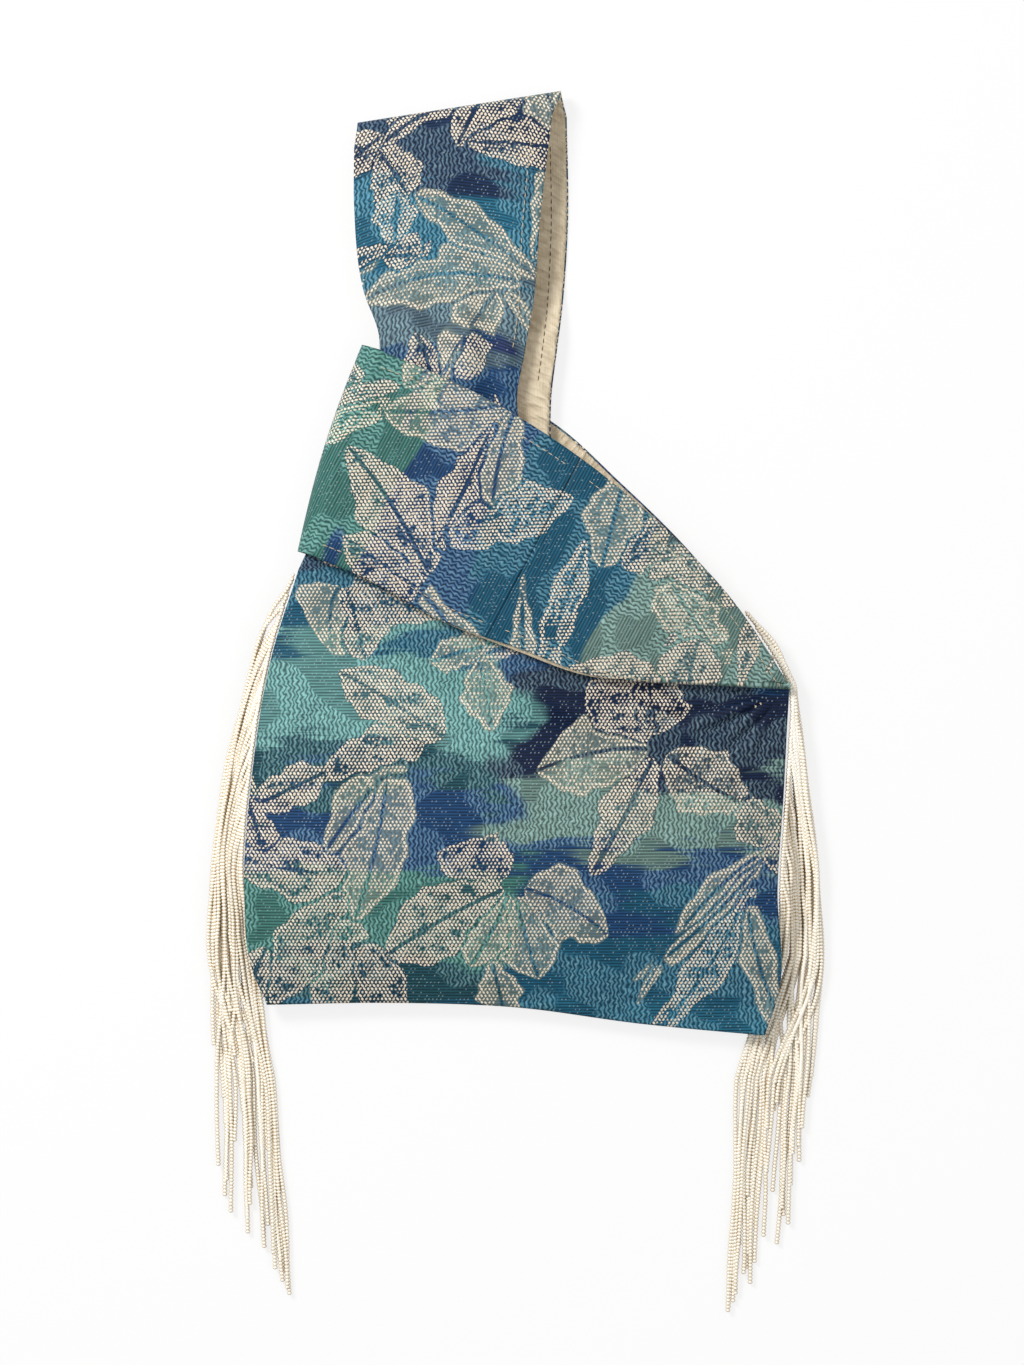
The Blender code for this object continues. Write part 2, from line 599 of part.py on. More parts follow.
def fringe(name, collection, cutters, material, right):
    """One bead fringe: its heading and strands, joined into a single solid."""
    travelled, path = seam_path(right)
    first = FRINGE_START_RIGHT if right else FRINGE_START_LEFT
    run = FRINGE_RUN_RIGHT if right else FRINGE_RUN_LEFT
    ends = np.linspace(2 * MM, first + 2 * MM + run, 20)
    heading = np.column_stack([np.interp(ends, travelled, path[:, axis]) for axis in range(3)])
    strands = [strand_route(number, right) for number in range(LAYERS * LANES)]
    piece = bpy.data.objects.new(name, tube(name, [heading], HEADING / 2, 1))
    collection.objects.link(piece)
    piece.data.materials.clear()
    piece.data.materials.append(material)
    cutter = bpy.data.objects.new(name + "_strands", tube(name + "_strands", strands, STRAND / 2, 0))
    cutter.hide_render = True
    cutter.display_type = "WIRE"
    cutters.objects.link(cutter)
    join = piece.modifiers.new("strands", "BOOLEAN")
    join.operation = "UNION"
    join.solver = "MANIFOLD"
    join.object = cutter
    return piece


def main():
    for leftover in list(bpy.data.objects):
        bpy.data.objects.remove(leftover)
    bag = bpy.data.collections.new("knot_bag")
    cutters = bpy.data.collections.new("cutters")
    bpy.context.scene.collection.children.link(bag)
    bpy.context.scene.collection.children.link(cutters)
    jacquard = finish("jacquard", (0.05, 0.19, 0.30), 0.62)
    satin = finish("lining_satin", (0.60, 0.50, 0.34), 0.45)
    beads = finish("ivory_beads", (0.83, 0.76, 0.58), 0.3)
    panel("outer_front_panel", bag, jacquard, back=False, lining=False)
    panel("outer_back_panel", bag, jacquard, back=True, lining=False)
    panel("lining_front_panel", bag, satin, back=False, lining=True)
    panel("lining_back_panel", bag, satin, back=True, lining=True)
    fringe("left_bead_fringe", bag, cutters, beads, right=False)
    fringe("right_bead_fringe", bag, cutters, beads, right=True)


main()
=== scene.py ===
# %% [markdown]
# # A knot bag
# A small evening bag of woven cloth with a satin lining. One long handle loop is pulled through
# a short, wide one, and a fringe of seed beads hangs from each side seam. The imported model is
# loaded first and stays as it is: each of its soft solids is replaced by a finer surface that
# follows the same outlines, so the looks and the solids never part.

# %% Load the frame
import math

import bpy
import numpy as np
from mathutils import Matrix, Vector


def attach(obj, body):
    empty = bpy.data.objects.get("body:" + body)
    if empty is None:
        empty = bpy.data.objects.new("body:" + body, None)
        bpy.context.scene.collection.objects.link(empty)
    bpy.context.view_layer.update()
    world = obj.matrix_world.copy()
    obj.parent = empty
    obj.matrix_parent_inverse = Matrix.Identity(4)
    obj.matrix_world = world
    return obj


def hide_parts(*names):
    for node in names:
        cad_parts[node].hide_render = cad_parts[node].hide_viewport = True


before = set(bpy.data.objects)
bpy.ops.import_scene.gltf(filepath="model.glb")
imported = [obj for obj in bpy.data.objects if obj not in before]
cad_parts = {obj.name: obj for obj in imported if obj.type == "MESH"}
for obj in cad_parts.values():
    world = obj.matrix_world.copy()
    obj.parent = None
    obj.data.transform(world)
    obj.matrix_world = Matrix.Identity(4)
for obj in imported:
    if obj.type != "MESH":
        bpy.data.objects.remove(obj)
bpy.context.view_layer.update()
print("solids:", sorted(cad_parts))

# %% [markdown]
# ## Sizes
# The same sizes as the solids have, in metres. Two plies of cloth lie 0.3 mm apart. The pouch is
# 234 mm wide, and the bag lies on the table with its front up, so Z is the height over the table.

# %% Cloth, pouch and handle sizes
MM = 0.001
CLOTH = 0.9 * MM
LINING = 0.5 * MM
PLY_GAP = 0.3 * MM
SEAM_GAP = 1.8 * MM
FOLD_STEP = 2.8 * MM
JOIN_GAP = 0.8 * MM
POUCH_WIDTH = 234 * MM
POUCH_DROP = 71 * MM
BOTTOM_SLANT = 13.5 * MM
NECK_RISE = 122 * MM
SHOULDER_RISE = 68.6 * MM
SIDE_HEIGHT = 12.8 * MM
BOTTOM_HEIGHT = 6.5 * MM
PUFF = 13 * MM
LIP = 36 * MM
HANDLE_WIDTH = 87 * MM
HANDLE_RISE = 322 * MM
HANDLE_LEAN = -28.5 * MM
STRAP_LEVEL = 12.4 * MM
HANDLE_LEVEL = STRAP_LEVEL + 0.4 * MM
BAND_LEVEL = STRAP_LEVEL + 2 * FOLD_STEP
PLEAT_ANGLE = math.radians(31.5)
PLEAT_START = math.radians(2.8)
PLEAT_REACH = 82 * MM
PLEAT_APEX = 12.2 * MM
HIDDEN_END = 23 * MM
BAND_OVERLAP = 15 * MM
EASE = 30 * MM

HALF = POUCH_WIDTH / 2
BACK_LEVEL = CLOTH + PLY_GAP / 2
BACK_FOLD_LEVEL = BACK_LEVEL + 2 * FOLD_STEP
SHOULDER_LEVEL = BACK_FOLD_LEVEL + SEAM_GAP
SHOULDER = np.array([HALF + 2.8 * MM, SHOULDER_RISE])
APEX = np.array([SHOULDER[0] + PLEAT_APEX, SHOULDER_RISE - 0.6 * MM])
print("pouch", POUCH_WIDTH, "m wide, handle top at", HANDLE_RISE, "m")

# %% [markdown]
# ## Curves for the outlines
# A sewn edge is a soft curve through a few points. A Hermite curve passes through every point
# and takes its slope there from the two neighbours, which is how a bent strip of cloth runs.

# %% Smooth curves and steps
def through(points, share):
    """Hermite curve through points: cubic between neighbours, share = part of the chord length."""
    points = np.asarray(points, dtype=float)
    chords = np.linalg.norm(np.diff(points, axis=0), axis=1)
    knots = np.concatenate([[0.0], np.cumsum(chords)]) / chords.sum()
    slopes = np.gradient(points, knots, axis=0)
    share = np.atleast_1d(np.asarray(share, dtype=float))
    span = np.clip(np.searchsorted(knots, share, side="right") - 1, 0, len(knots) - 2)
    width = (knots[span + 1] - knots[span])[:, None]
    s = (share - knots[span])[:, None] / width
    return ((2 * s**3 - 3 * s**2 + 1) * points[span] + (s**3 - 2 * s**2 + s) * width * slopes[span]
            + (3 * s**2 - 2 * s**3) * points[span + 1] + (s**3 - s**2) * width * slopes[span + 1])


def steps(count):
    """count even shares from 0 to 1."""
    return np.linspace(0.0, 1.0, count)


def soft(value):
    """0 below 0, 1 above 1, and 3x^2 - 2x^3 between."""
    value = np.clip(value, 0.0, 1.0)
    return value * value * (3 - 2 * value)


def bell(distance, width):
    """Gauss bell exp(-(distance / width)^2)."""
    return np.exp(-(distance / width) ** 2)


def mm(*pairs):
    """Plan points written in millimetres."""
    return np.array(pairs, dtype=float) * MM


print("curve through three points, middle:", through(mm((0, 0), (10, 5), (20, 0)), 0.5))

# %% Outlines of the pouch and the band
LEFT_SEAM = np.array([(-HALF + 7 * MM, -POUCH_DROP), (-HALF + 0.5 * MM, -POUCH_DROP + 16 * MM),
                      (-HALF - 2.5 * MM, -20 * MM), (-HALF + 1 * MM, 30 * MM),
                      (-HALF + 9.5 * MM, NECK_RISE - 40 * MM), (-HALF + 21 * MM, NECK_RISE - 2 * MM)])
RIGHT_SEAM = np.array([(HALF - 8 * MM, -POUCH_DROP - BOTTOM_SLANT),
                       (HALF - 2 * MM, -POUCH_DROP - BOTTOM_SLANT + 19.5 * MM),
                       (HALF - 3 * MM, -20 * MM), (HALF, 25 * MM), SHOULDER])
BOTTOM_SEAM = np.array([LEFT_SEAM[0], (-60 * MM, -POUCH_DROP + 1 * MM), (0, -POUCH_DROP - 1 * MM),
                        (54 * MM, -POUCH_DROP - 0.6 * BOTTOM_SLANT), RIGHT_SEAM[0]])
NECK_LEFT = np.array((38 * MM, NECK_RISE + 2 * MM))
NECK_RIGHT = np.array((46 * MM, NECK_RISE - 4 * MM))
FOLD_TOP = np.array((-67.3 * MM, SHOULDER_RISE + 150 * MM))
FOLD_BOTTOM = np.array((-95.5 * MM, NECK_RISE + 6 * MM))


def pleat_ray(angle, reach):
    """Apex of the pleat plus reach along a ray that rises by angle over the -X direction."""
    return np.stack([APEX[0] - reach * math.cos(angle), APEX[1] + reach * math.sin(angle)], axis=-1)


LOWER_EDGE = np.vstack([pleat_ray(PLEAT_START, PLEAT_REACH),
                        mm((37, 73), (1.3, 85.3), (-29.9, 96.3), (-70, 117.9)), FOLD_BOTTOM])
UPPER_EDGE = np.vstack([SHOULDER, mm((110, 84.4), (95.9, 104.8), (73.9, 129.3), (47.5, 153.5),
                                     (13.2, 179), (-28, 202.5)), FOLD_TOP])
BACK_UPPER_EDGE = np.vstack([SHOULDER, mm((110, 84.4), (95.9, 104.8), (73.9, 131), (46.2, 158.3),
                                          (15, 186), (-28, 206)), FOLD_TOP])
JOIN_UPPER = mm((28, 168.5))[0]
JOIN_LOWER = mm((-13, 91))[0]
print("band edges of", len(LOWER_EDGE), "and", len(UPPER_EDGE), "points")

# %% [markdown]
# ## One panel of cloth
# Each panel is cut in one piece: pouch wall, a strap of the long handle and one end of the short
# handle. On the real bag the cloth is pulled into place by hand; here three grids of points share
# their rows where they meet, so the panel stays one cloth. A grid step of about 1.4 mm is close to
# the pitch of the weave, which lets the motifs be stored point by point.

# %% Grid counts
COLUMNS = 168
HANDLE_COLUMNS = 84
BAND_COLUMN = 96
ROWS = 140
STEP = 1.38 * MM
BAND_COLUMNS = COLUMNS - BAND_COLUMN + 1
print("grid step", round(POUCH_WIDTH / COLUMNS / MM, 2), "mm")


# %% The pouch in plan
def neck_row():
    """Straight runs from the left seam to the neck, over the gap, and on to the shoulder."""
    handle = np.linspace(LEFT_SEAM[-1], NECK_LEFT, HANDLE_COLUMNS + 1)
    gap = np.linspace(NECK_LEFT, NECK_RIGHT, BAND_COLUMN - HANDLE_COLUMNS + 1)[1:-1]
    band = np.linspace(NECK_RIGHT, SHOULDER, BAND_COLUMNS)
    return np.vstack([handle, gap, band])


def blend_edges(left, right, bottom, top):
    """Coons patch: both ruled surfaces added, less the bilinear one through the corners."""
    u = steps(COLUMNS + 1)[None, :, None]
    v = steps(ROWS + 1)[:, None, None]
    left, right, bottom, top = left[:, None], right[:, None], bottom[None], top[None]
    corners = ((1 - u) * (1 - v) * bottom[:, :1] + u * (1 - v) * bottom[:, -1:]
               + (1 - u) * v * top[:, :1] + u * v * top[:, -1:])
    return (1 - v) * bottom + v * top + (1 - u) * left + u * right - corners


def pouch_plan():
    """X and Y of the pouch grid, blended from its four edges."""
    return blend_edges(through(LEFT_SEAM, steps(ROWS + 1)), through(RIGHT_SEAM, steps(ROWS + 1)),
                       through(BOTTOM_SEAM, steps(COLUMNS + 1)), neck_row())


print("pouch grid", pouch_plan().shape)


# %% Heights of the pouch
def lower_edge_height(x):
    """Y of the band's lower edge at a given X, by linear interpolation."""
    edge = np.vstack([SHOULDER, through(LOWER_EDGE, steps(60))])[::-1]
    return np.interp(x, edge[:, 0], edge[:, 1])


def front_level(x):
    """Height of the front under the band: straight from the strap's level to the shoulder's."""
    start = LOWER_EDGE[0, 0]
    share = np.clip((x - start) / (SHOULDER[0] - start), 0, 1)
    return STRAP_LEVEL + (SHOULDER_LEVEL - STRAP_LEVEL) * share


def seam_heights(back):
    """Height of the left, right, bottom and top edge of a pouch wall, by linear interpolation."""
    sign = -1 if back else 1
    drop = sign * SEAM_GAP / 2
    v, u = steps(ROWS + 1), steps(COLUMNS + 1)
    low = BOTTOM_HEIGHT + 2 * MM
    neck = BACK_FOLD_LEVEL if back else STRAP_LEVEL
    shoulder = BACK_FOLD_LEVEL if back else SHOULDER_LEVEL
    side = SIDE_HEIGHT + drop
    left = np.interp(v, [0, 0.3, 0.62, 0.85, 1], [low + drop, side, side, 0.5 * (side + neck), neck])
    right = np.interp(v, [0, 0.3, 0.58, 0.76, 1], [low + drop, side, side, shoulder, shoulder])
    bottom = BOTTOM_HEIGHT + 2 * MM * (2 * u - 1) ** 2 + drop
    top = np.full(COLUMNS + 1, BACK_FOLD_LEVEL) if back else front_level(neck_row()[:, 0])
    return left, right, bottom, top


def pulled_folds(x, y):
    """Ridges on rays from the shoulder: bells over the angle, fading with the distance.

    Each ray is an angle and a width in degrees, and a height in millimetres.
    """
    away = np.hypot(x - SHOULDER[0], y - SHOULDER[1])
    angle = np.degrees(np.arctan2(SHOULDER[1] - y, SHOULDER[0] - x))
    fade = soft(away / (12 * MM)) * np.exp(-away / (58 * MM))
    rays = np.array([[9, 3.5, 3.4], [22, 4.2, 6.0], [38, 5, 5.2], [55, 6, 3.6], [74, 6, 2.4]])
    lift = sum(height * bell(angle - ray, width) for ray, width, height in rays)
    return lift * fade * MM


def slack(x, y):
    """Slow unevenness of hand-pulled cloth: a sum of crossed sines, 0 to about 1.6 mm."""
    x, y = x / MM, y / MM
    wave = (np.sin(x / 17 + 0.8 * np.sin(y / 29)) * np.sin(y / 21 + 1.3)
            + 0.7 * np.sin(x / 31 - y / 19 + 2) + 0.45 * np.sin(x / 9 + y / 27) * np.sin(y / 13 - x / 40))
    return (0.5 + 0.25 * wave) * 1.5 * MM


def front_heights(plan):
    """Blend of the edges plus the swell PUFF * sin, flat under the band, with folds on top."""
    x, y = plan[..., 0], plan[..., 1]
    base = blend_edges(*[edge[:, None] for edge in seam_heights(back=False)])[..., 0]
    u = steps(COLUMNS + 1)[None, :]
    rim = lower_edge_height(x) - BAND_OVERLAP
    floor = np.interp(x, BOTTOM_SEAM[:, 0], BOTTOM_SEAM[:, 1])
    down = np.clip((rim - y) / (rim - floor), 0, 1)
    swell = (1 - np.abs(2 * u - 1) ** 3) * np.sin(np.pi * down**0.75) ** 0.9
    inside = soft(np.minimum(u, 1 - u) * 14) * soft((y - floor) / (14 * MM))
    uneven = slack(x, y) * inside * soft(down * 4)
    pressed = soft((y - rim + BAND_OVERLAP) / BAND_OVERLAP)
    free = soft((lower_edge_height(x) - 1.5 * MM - y) / (9 * MM)) * soft(12 - 12 * u)
    return ((base + PUFF * swell + uneven) * (1 - pressed) + front_level(x) * pressed
            + pulled_folds(x, y) * free)


def back_heights(plan):
    """Flat on the table, with a lip (1 - d / LIP)^1.3 up to the seams and a rise over the band."""
    left, right, bottom, _ = seam_heights(back=True)
    x, y = plan[..., 0], plan[..., 1]

    def lip(height, distance):
        return (height - BACK_LEVEL) * np.clip(1 - distance / LIP, 0, 1) ** 1.3

    rise = np.maximum(lip(left[:, None], x - x[:, :1]), lip(right[:, None], x[:, -1:] - x))
    rise = np.maximum(rise, lip(bottom[None], y - y[:1]))
    under_band = soft((y - lower_edge_height(x) + EASE + 4 * MM) / EASE)
    return BACK_LEVEL + np.maximum(rise, (BACK_FOLD_LEVEL - BACK_LEVEL) * under_band)


def pouch_wall(back):
    """X, Y and Z of one pouch wall, rows from the bottom seam up."""
    plan = pouch_plan()
    heights = back_heights(plan) if back else front_heights(plan)
    heights[-1] = seam_heights(back)[3]
    return np.concatenate([plan, heights[..., None]], axis=2)


print("front rises to", round(pouch_wall(False)[..., 2].max() / MM, 1), "mm")

# %% [markdown]
# ## The long handle
# Two straps, front and back, meet in a seam on the top fold. Near the band the real strap is
# squeezed to two thirds of its width, so it buckles in long folds. They are bells over X that fade
# along Y, added to the height of the straight rows between the two edges.

# %% Straps of the long handle
def handle_edges(back):
    """Left and right edge of one strap as points, from the neck to the top fold."""
    shift = 6.5 * MM if back else 0.0
    pull = 10 * MM if back else 0.0
    left = HANDLE_LEAN + shift * 0.5 - HANDLE_WIDTH / 2
    right = HANDLE_LEAN + shift + HANDLE_WIDTH / 2
    low = HANDLE_RISE - 22 * MM
    left_edge = np.vstack([LEFT_SEAM[-1], mm((-87, 140), (-75, 175), (-61, 208), (-60.5, 222)),
                           (left + 4.5 * MM, 243 * MM), (left + 0.5 * MM, 280 * MM),
                           (left + 0.5 * MM, low + 5 * MM)])
    right_edge = np.array([NECK_LEFT, (22 * MM + pull / 2, 144 * MM), (6 * MM + pull, 170 * MM),
                           (pull * 1.5, 193 * MM), (3.5 * MM + pull * 1.4, 216 * MM),
                           (7 * MM + pull * 1.3, 236 * MM), (right - 5 * MM + 0.6 * pull, 272 * MM),
                           (right + 0.5 * MM, low + 20 * MM)])
    return left_edge, right_edge


def strap_folds(x, y):
    """Long buckles over the squeezed stretch: bells over X, fading with Y over the band."""
    x, y = x / MM, y / MM
    squeeze = bell(y - 205, 46)
    return (3.4 * bell(x + 22 + 0.05 * (y - 205), 6.5) + 2.4 * bell(x + 46, 5)
            + 1.5 * bell(x + 4, 4)) * squeeze * MM


def handle_strap(back):
    """Rows from the neck to the top fold, closed by a quarter turn of the fold."""
    left_edge, right_edge = handle_edges(back)
    share = steps(144)[1:]
    left, right = through(left_edge, share), through(right_edge, share)
    y = 0.5 * (left[:, 1] + right[:, 1])
    if back:
        level = BACK_FOLD_LEVEL + (BACK_LEVEL - BACK_FOLD_LEVEL) * soft((y - FOLD_TOP[1] + 4 * MM) / EASE)
    else:
        level = STRAP_LEVEL + (HANDLE_LEVEL - STRAP_LEVEL) * soft((y - FOLD_TOP[1]) / EASE)
    across = steps(HANDLE_COLUMNS + 1)[None, :, None]
    plan = left[:, None] * (1 - across) + right[:, None] * across
    height = np.repeat(level[:, None], HANDLE_COLUMNS + 1, axis=1)
    edge = soft(np.minimum(across, 1 - across)[..., 0] * 9)
    if not back:
        out = soft((plan[..., 1] - FOLD_TOP[1] + 34 * MM) / (18 * MM))
        calm = soft((HANDLE_RISE - 16 * MM - plan[..., 1]) / (26 * MM))
        folds = strap_folds(plan[..., 0], plan[..., 1]) + 0.7 * slack(plan[..., 0] * 1.3, plan[..., 1])
        height += folds * out * calm * edge
    run = np.concatenate([plan, height[..., None]], axis=2)
    radius = (HANDLE_LEVEL - BACK_LEVEL) / 2
    last = run[-1]
    along = last[-1, :2] - last[0, :2]
    up = np.array([-along[1], along[0]]) / np.linalg.norm(along)
    turn = np.linspace(0, math.pi / 2 - 0.5 * JOIN_GAP / radius, 11)[1:, None, None]
    crest = np.linspace((HANDLE_LEAN - HANDLE_WIDTH / 2 + 2 * MM, HANDLE_RISE - 6 * MM),
                        (HANDLE_LEAN + HANDLE_WIDTH / 2 + 4.5 * MM, HANDLE_RISE + 8 * MM),
                        HANDLE_COLUMNS + 1) - radius * up
    start = last[None, :, :2] + (crest - last[:, :2])[None] * np.sin(turn)
    blend = 1 - np.cos(turn)
    plan = start * (1 - blend) + crest[None] * blend + up * radius * np.sin(turn)
    sign = -1 if back else 1
    height = np.broadcast_to(BACK_LEVEL + radius + sign * radius * np.cos(turn), plan[..., :1].shape)
    return np.concatenate([run, np.concatenate([plan, height], axis=2)])


print("strap grid", handle_strap(False).shape)

# %% [markdown]
# ## The short handle, worn as a band
# The short handle turns off at the right shoulder in a pleat, passes over the front and round the
# left fold, and the two ends are sewn together across its front run. The folded rows are half
# turns about a small radius. Between them the rows are filled in straight, one weave pitch apart.

# %% Rows of the pleat and of the band
def filled(rows):
    """The rows with straight ones put between, so that none lie more than a step apart."""
    out = [rows[0][None]]
    for first, second in zip(rows[:-1], rows[1:]):
        gap = np.linalg.norm(second - first, axis=1).max()
        share = np.linspace(0, 1, max(int(np.ceil(gap / (1.35 * STEP))), 1) + 1)[1:, None, None]
        out.append(first[None] * (1 - share) + second[None] * share)
    return np.concatenate(out)


def pleat_rows(back):
    """Two half turns: rows on a ray from the apex, moved off it by radius * (sin, 1 - cos)."""
    across = steps(BAND_COLUMNS)
    sign = -1 if back else 1
    radius = FOLD_STEP / 2
    rows = []
    turns = ((PLEAT_START + PLEAT_ANGLE, HIDDEN_END, 1, 0), (PLEAT_START, PLEAT_APEX, -1, 2))
    for angle, outer_reach, side, step in turns:
        ray = pleat_ray(angle, PLEAT_REACH + (outer_reach - PLEAT_REACH) * across)
        over = np.array([math.sin(angle), math.cos(angle)]) * side
        level = np.full(BAND_COLUMNS, BACK_FOLD_LEVEL) if back else front_level(ray[:, 0])
        for turn in np.linspace(0, math.pi, 9):
            plan = ray - over * radius + over * radius * math.sin(turn)
            rows.append(np.column_stack([plan, level + sign * radius * (step + 1 - math.cos(turn))]))
    return rows


def share_at(edge, point):
    """Share of an edge at which it passes nearest to a point."""
    share = steps(600)
    return share[np.argmin(np.linalg.norm(through(edge, share) - point, axis=1))]


def band_run(lower, upper, shares, count, start_level, end_level):
    """Straight rows between two stretches of edge. The height eases from one level to the next."""
    share = steps(count)[1:]
    low = through(lower, shares[0] + (shares[1] - shares[0]) * share)[:, None]
    high = through(upper, shares[2] + (shares[3] - shares[2]) * share)[:, None]
    across = steps(BAND_COLUMNS)[None, :, None]
    plan = low * (1 - across) + high * across
    ramp = soft(2.2 * share)[:, None]
    height = start_level[None] * (1 - ramp) + end_level * ramp
    return np.concatenate([plan, height[..., None]], axis=2)


def front_band(neck):
    """Pleat, then the front run up to the cross seam. Also the number of its first top row."""
    pleat = pleat_rows(back=False)
    stops = (0, share_at(LOWER_EDGE, JOIN_LOWER), 0, share_at(UPPER_EDGE, JOIN_UPPER))
    run = band_run(LOWER_EDGE, UPPER_EDGE, stops, 96, pleat[-1][:, 2], BAND_LEVEL)
    across = JOIN_UPPER - JOIN_LOWER
    run[-1, :, :2] += np.array([across[1], -across[0]]) / np.linalg.norm(across) * 0.15 * MM
    return filled([neck, *pleat, *run])[1:], len(filled([neck, *pleat[:-4]])) - 1


def back_band(neck):
    """Pleat, the run under the bag, the left fold, the run to the cross seam; first top row."""
    pleat = pleat_rows(back=True)
    share = steps(BAND_COLUMNS)
    along = FOLD_TOP - FOLD_BOTTOM
    inward = np.array([along[1], -along[0]]) / np.linalg.norm(along)
    line = np.outer(1 - share, FOLD_BOTTOM) + np.outer(share, FOLD_TOP)
    radius = (BAND_LEVEL - BACK_LEVEL) / 2
    base = line - np.outer(2.5 * MM * np.sin(np.pi * share), inward) + inward * radius
    stops = (0, share_at(LOWER_EDGE, base[0]), 0, share_at(BACK_UPPER_EDGE, base[-1]))
    under = band_run(LOWER_EDGE, BACK_UPPER_EDGE, stops, 120, pleat[-1][:, 2], BACK_LEVEL)
    under[-1, :, :2] = base
    turn = np.linspace(0, math.pi, 25)[1:, None, None]
    plan = base[None] - inward * radius * np.sin(turn)
    height = np.broadcast_to(BACK_LEVEL + radius * (1 - np.cos(turn)), plan[..., :1].shape)
    fold = np.concatenate([plan, height], axis=2)
    stops = (stops[1], share_at(LOWER_EDGE, JOIN_LOWER), share_at(UPPER_EDGE, base[-1]),
             share_at(UPPER_EDGE, JOIN_UPPER))
    over = band_run(LOWER_EDGE, UPPER_EDGE, stops, 72, fold[-1, :, 2], BAND_LEVEL)
    return filled([neck, *pleat, *under, *fold, *over])[1:], len(filled([neck, *pleat, *under, *fold])) - 2


print("front band rows", len(front_band(pouch_wall(False)[-1, BAND_COLUMN:])[0]))


# %% [markdown]
# Where the band lies over the bag it isn't flat: it sags a little between the pouch and its upper
# edge, and the pull towards the shoulder raises low ridges along it. Cloth coordinates go with each
# point: across and along the cloth in millimetres, as it was cut. The weave follows them.

# %% Relief of the band, and cloth coordinates
STRAP_ALONG, BAND_ALONG, FLAT_ALONG = 122, 100, 455
BAND_EDGE, BAND_ACROSS = 28, 92


def band_relief(grid):
    """Low ridges from the shoulder and a sag, only where the band is the top layer."""
    x, y, z = grid[..., 0], grid[..., 1], grid[..., 2]
    top = soft((z - BAND_LEVEL + 0.6 * MM) / (0.5 * MM)) * (z > STRAP_LEVEL)
    across = steps(grid.shape[1])[None]
    edge = soft(np.minimum(across, 1 - across) * 10)
    away = np.hypot(x - SHOULDER[0], y - SHOULDER[1])
    angle = np.degrees(np.arctan2(y - SHOULDER[1], SHOULDER[0] - x))
    ridges = (2.2 * bell(angle - 14, 5) + 1.8 * bell(angle - 30, 5) + 1.3 * bell(angle - 44, 4)) * MM
    lift = ridges * np.exp(-away / (80 * MM)) + 0.8 * slack(x + 0.02, y - 0.01)
    return grid + np.array([0, 0, 1.0]) * (lift * top * edge)[..., None]


def arc_coordinates(grid, first, across):
    """Cloth coordinates: across as given, along = first plus the arc length of each column."""
    step = np.linalg.norm(np.diff(grid, axis=0), axis=2) / MM
    along = first + np.vstack([np.zeros(grid.shape[1]), np.cumsum(step, axis=0)])
    return np.stack([np.broadcast_to(across, along.shape), along], axis=2)


def spread_flat(coordinates, band, first):
    """Where the band lies on top, its cloth is flat: plan axes along and square to the cross seam.

    The rows before are shifted so that they meet the flat part.
    """
    axis = (JOIN_UPPER - JOIN_LOWER) / np.linalg.norm(JOIN_UPPER - JOIN_LOWER)
    side = np.array([axis[1], -axis[0]])
    plan = (band[first:, :, :2] - JOIN_LOWER) / MM
    flat = np.stack([BAND_EDGE + plan @ axis, FLAT_ALONG + plan @ side], axis=2)
    before = coordinates[:first] + flat[0] - coordinates[first]
    return np.concatenate([before, flat])


def panel_grids(back):
    """The three grids of a panel with their cloth coordinates."""
    pouch = pouch_wall(back)
    strap = handle_strap(back)
    band, first = (back_band if back else front_band)(pouch[-1, BAND_COLUMN:])
    band = band_relief(band)
    pouch_cloth = pouch[..., :2] / MM
    strap_cloth = np.stack([strap[..., 0] / MM, arc_coordinates(
        np.concatenate([pouch[-1:, :HANDLE_COLUMNS + 1], strap]), STRAP_ALONG, 0)[1:, :, 1]], axis=2)
    across = BAND_EDGE + BAND_ACROSS * steps(BAND_COLUMNS)
    rows = np.concatenate([pouch[-1:, BAND_COLUMN:], band])
    band_cloth = spread_flat(arc_coordinates(rows, BAND_ALONG, across)[1:], band, first)
    return (pouch, strap, band), (pouch_cloth, strap_cloth, band_cloth)


front_grids, front_cloth = panel_grids(back=False)
back_grids, back_cloth = panel_grids(back=True)
print("points:", sum(g.shape[0] * g.shape[1] for g in front_grids),
      sum(g.shape[0] * g.shape[1] for g in back_grids))


# %% [markdown]
# ## From grids to a cloth with a thickness
# The grids are woven into one open mesh of quads. Jacquard and lining are this surface moved off
# the middle to either side along its normals, and Solidify gives each its own thickness away from
# the middle, so the two plies never cut through each other.

# %% Weave the grids into a mesh
def woven_faces(back, grids):
    """Quads of neighbouring points. The strap and the band start on the pouch's top row."""
    sizes = [g.shape[0] * g.shape[1] for g in grids]
    starts = np.concatenate([[0], np.cumsum(sizes)])
    pouch, strap, band = [np.arange(a, a + s).reshape(g.shape[:2])
                          for a, s, g in zip(starts, sizes, grids)]
    quads = []
    for index in (pouch, np.vstack([pouch[-1:, :strap.shape[1]], strap]),
                  np.vstack([pouch[-1:, -band.shape[1]:], band])):
        corner = [index[:-1, :-1], index[:-1, 1:], index[1:, 1:], index[1:, :-1]]
        quads.append(np.stack(corner, axis=2).reshape(-1, 4))
    quads = np.vstack(quads)
    return quads[:, ::-1] if back else quads


def new_object(name, data):
    """An object of the scene that shows a mesh, a lamp or a camera."""
    piece = bpy.data.objects.new(name, data)
    bpy.context.scene.collection.objects.link(piece)
    return piece


def mesh_object(name, points, faces, material):
    """A mesh object at the origin from an array of points and a list of faces, shaded smooth."""
    mesh = bpy.data.meshes.new(name)
    mesh.from_pydata(points.reshape(-1, 3).tolist(), [], faces)
    mesh.polygons.foreach_set("use_smooth", np.ones(len(mesh.polygons), dtype=bool))
    mesh.update()
    mesh.materials.append(material)
    return new_object(name, mesh)


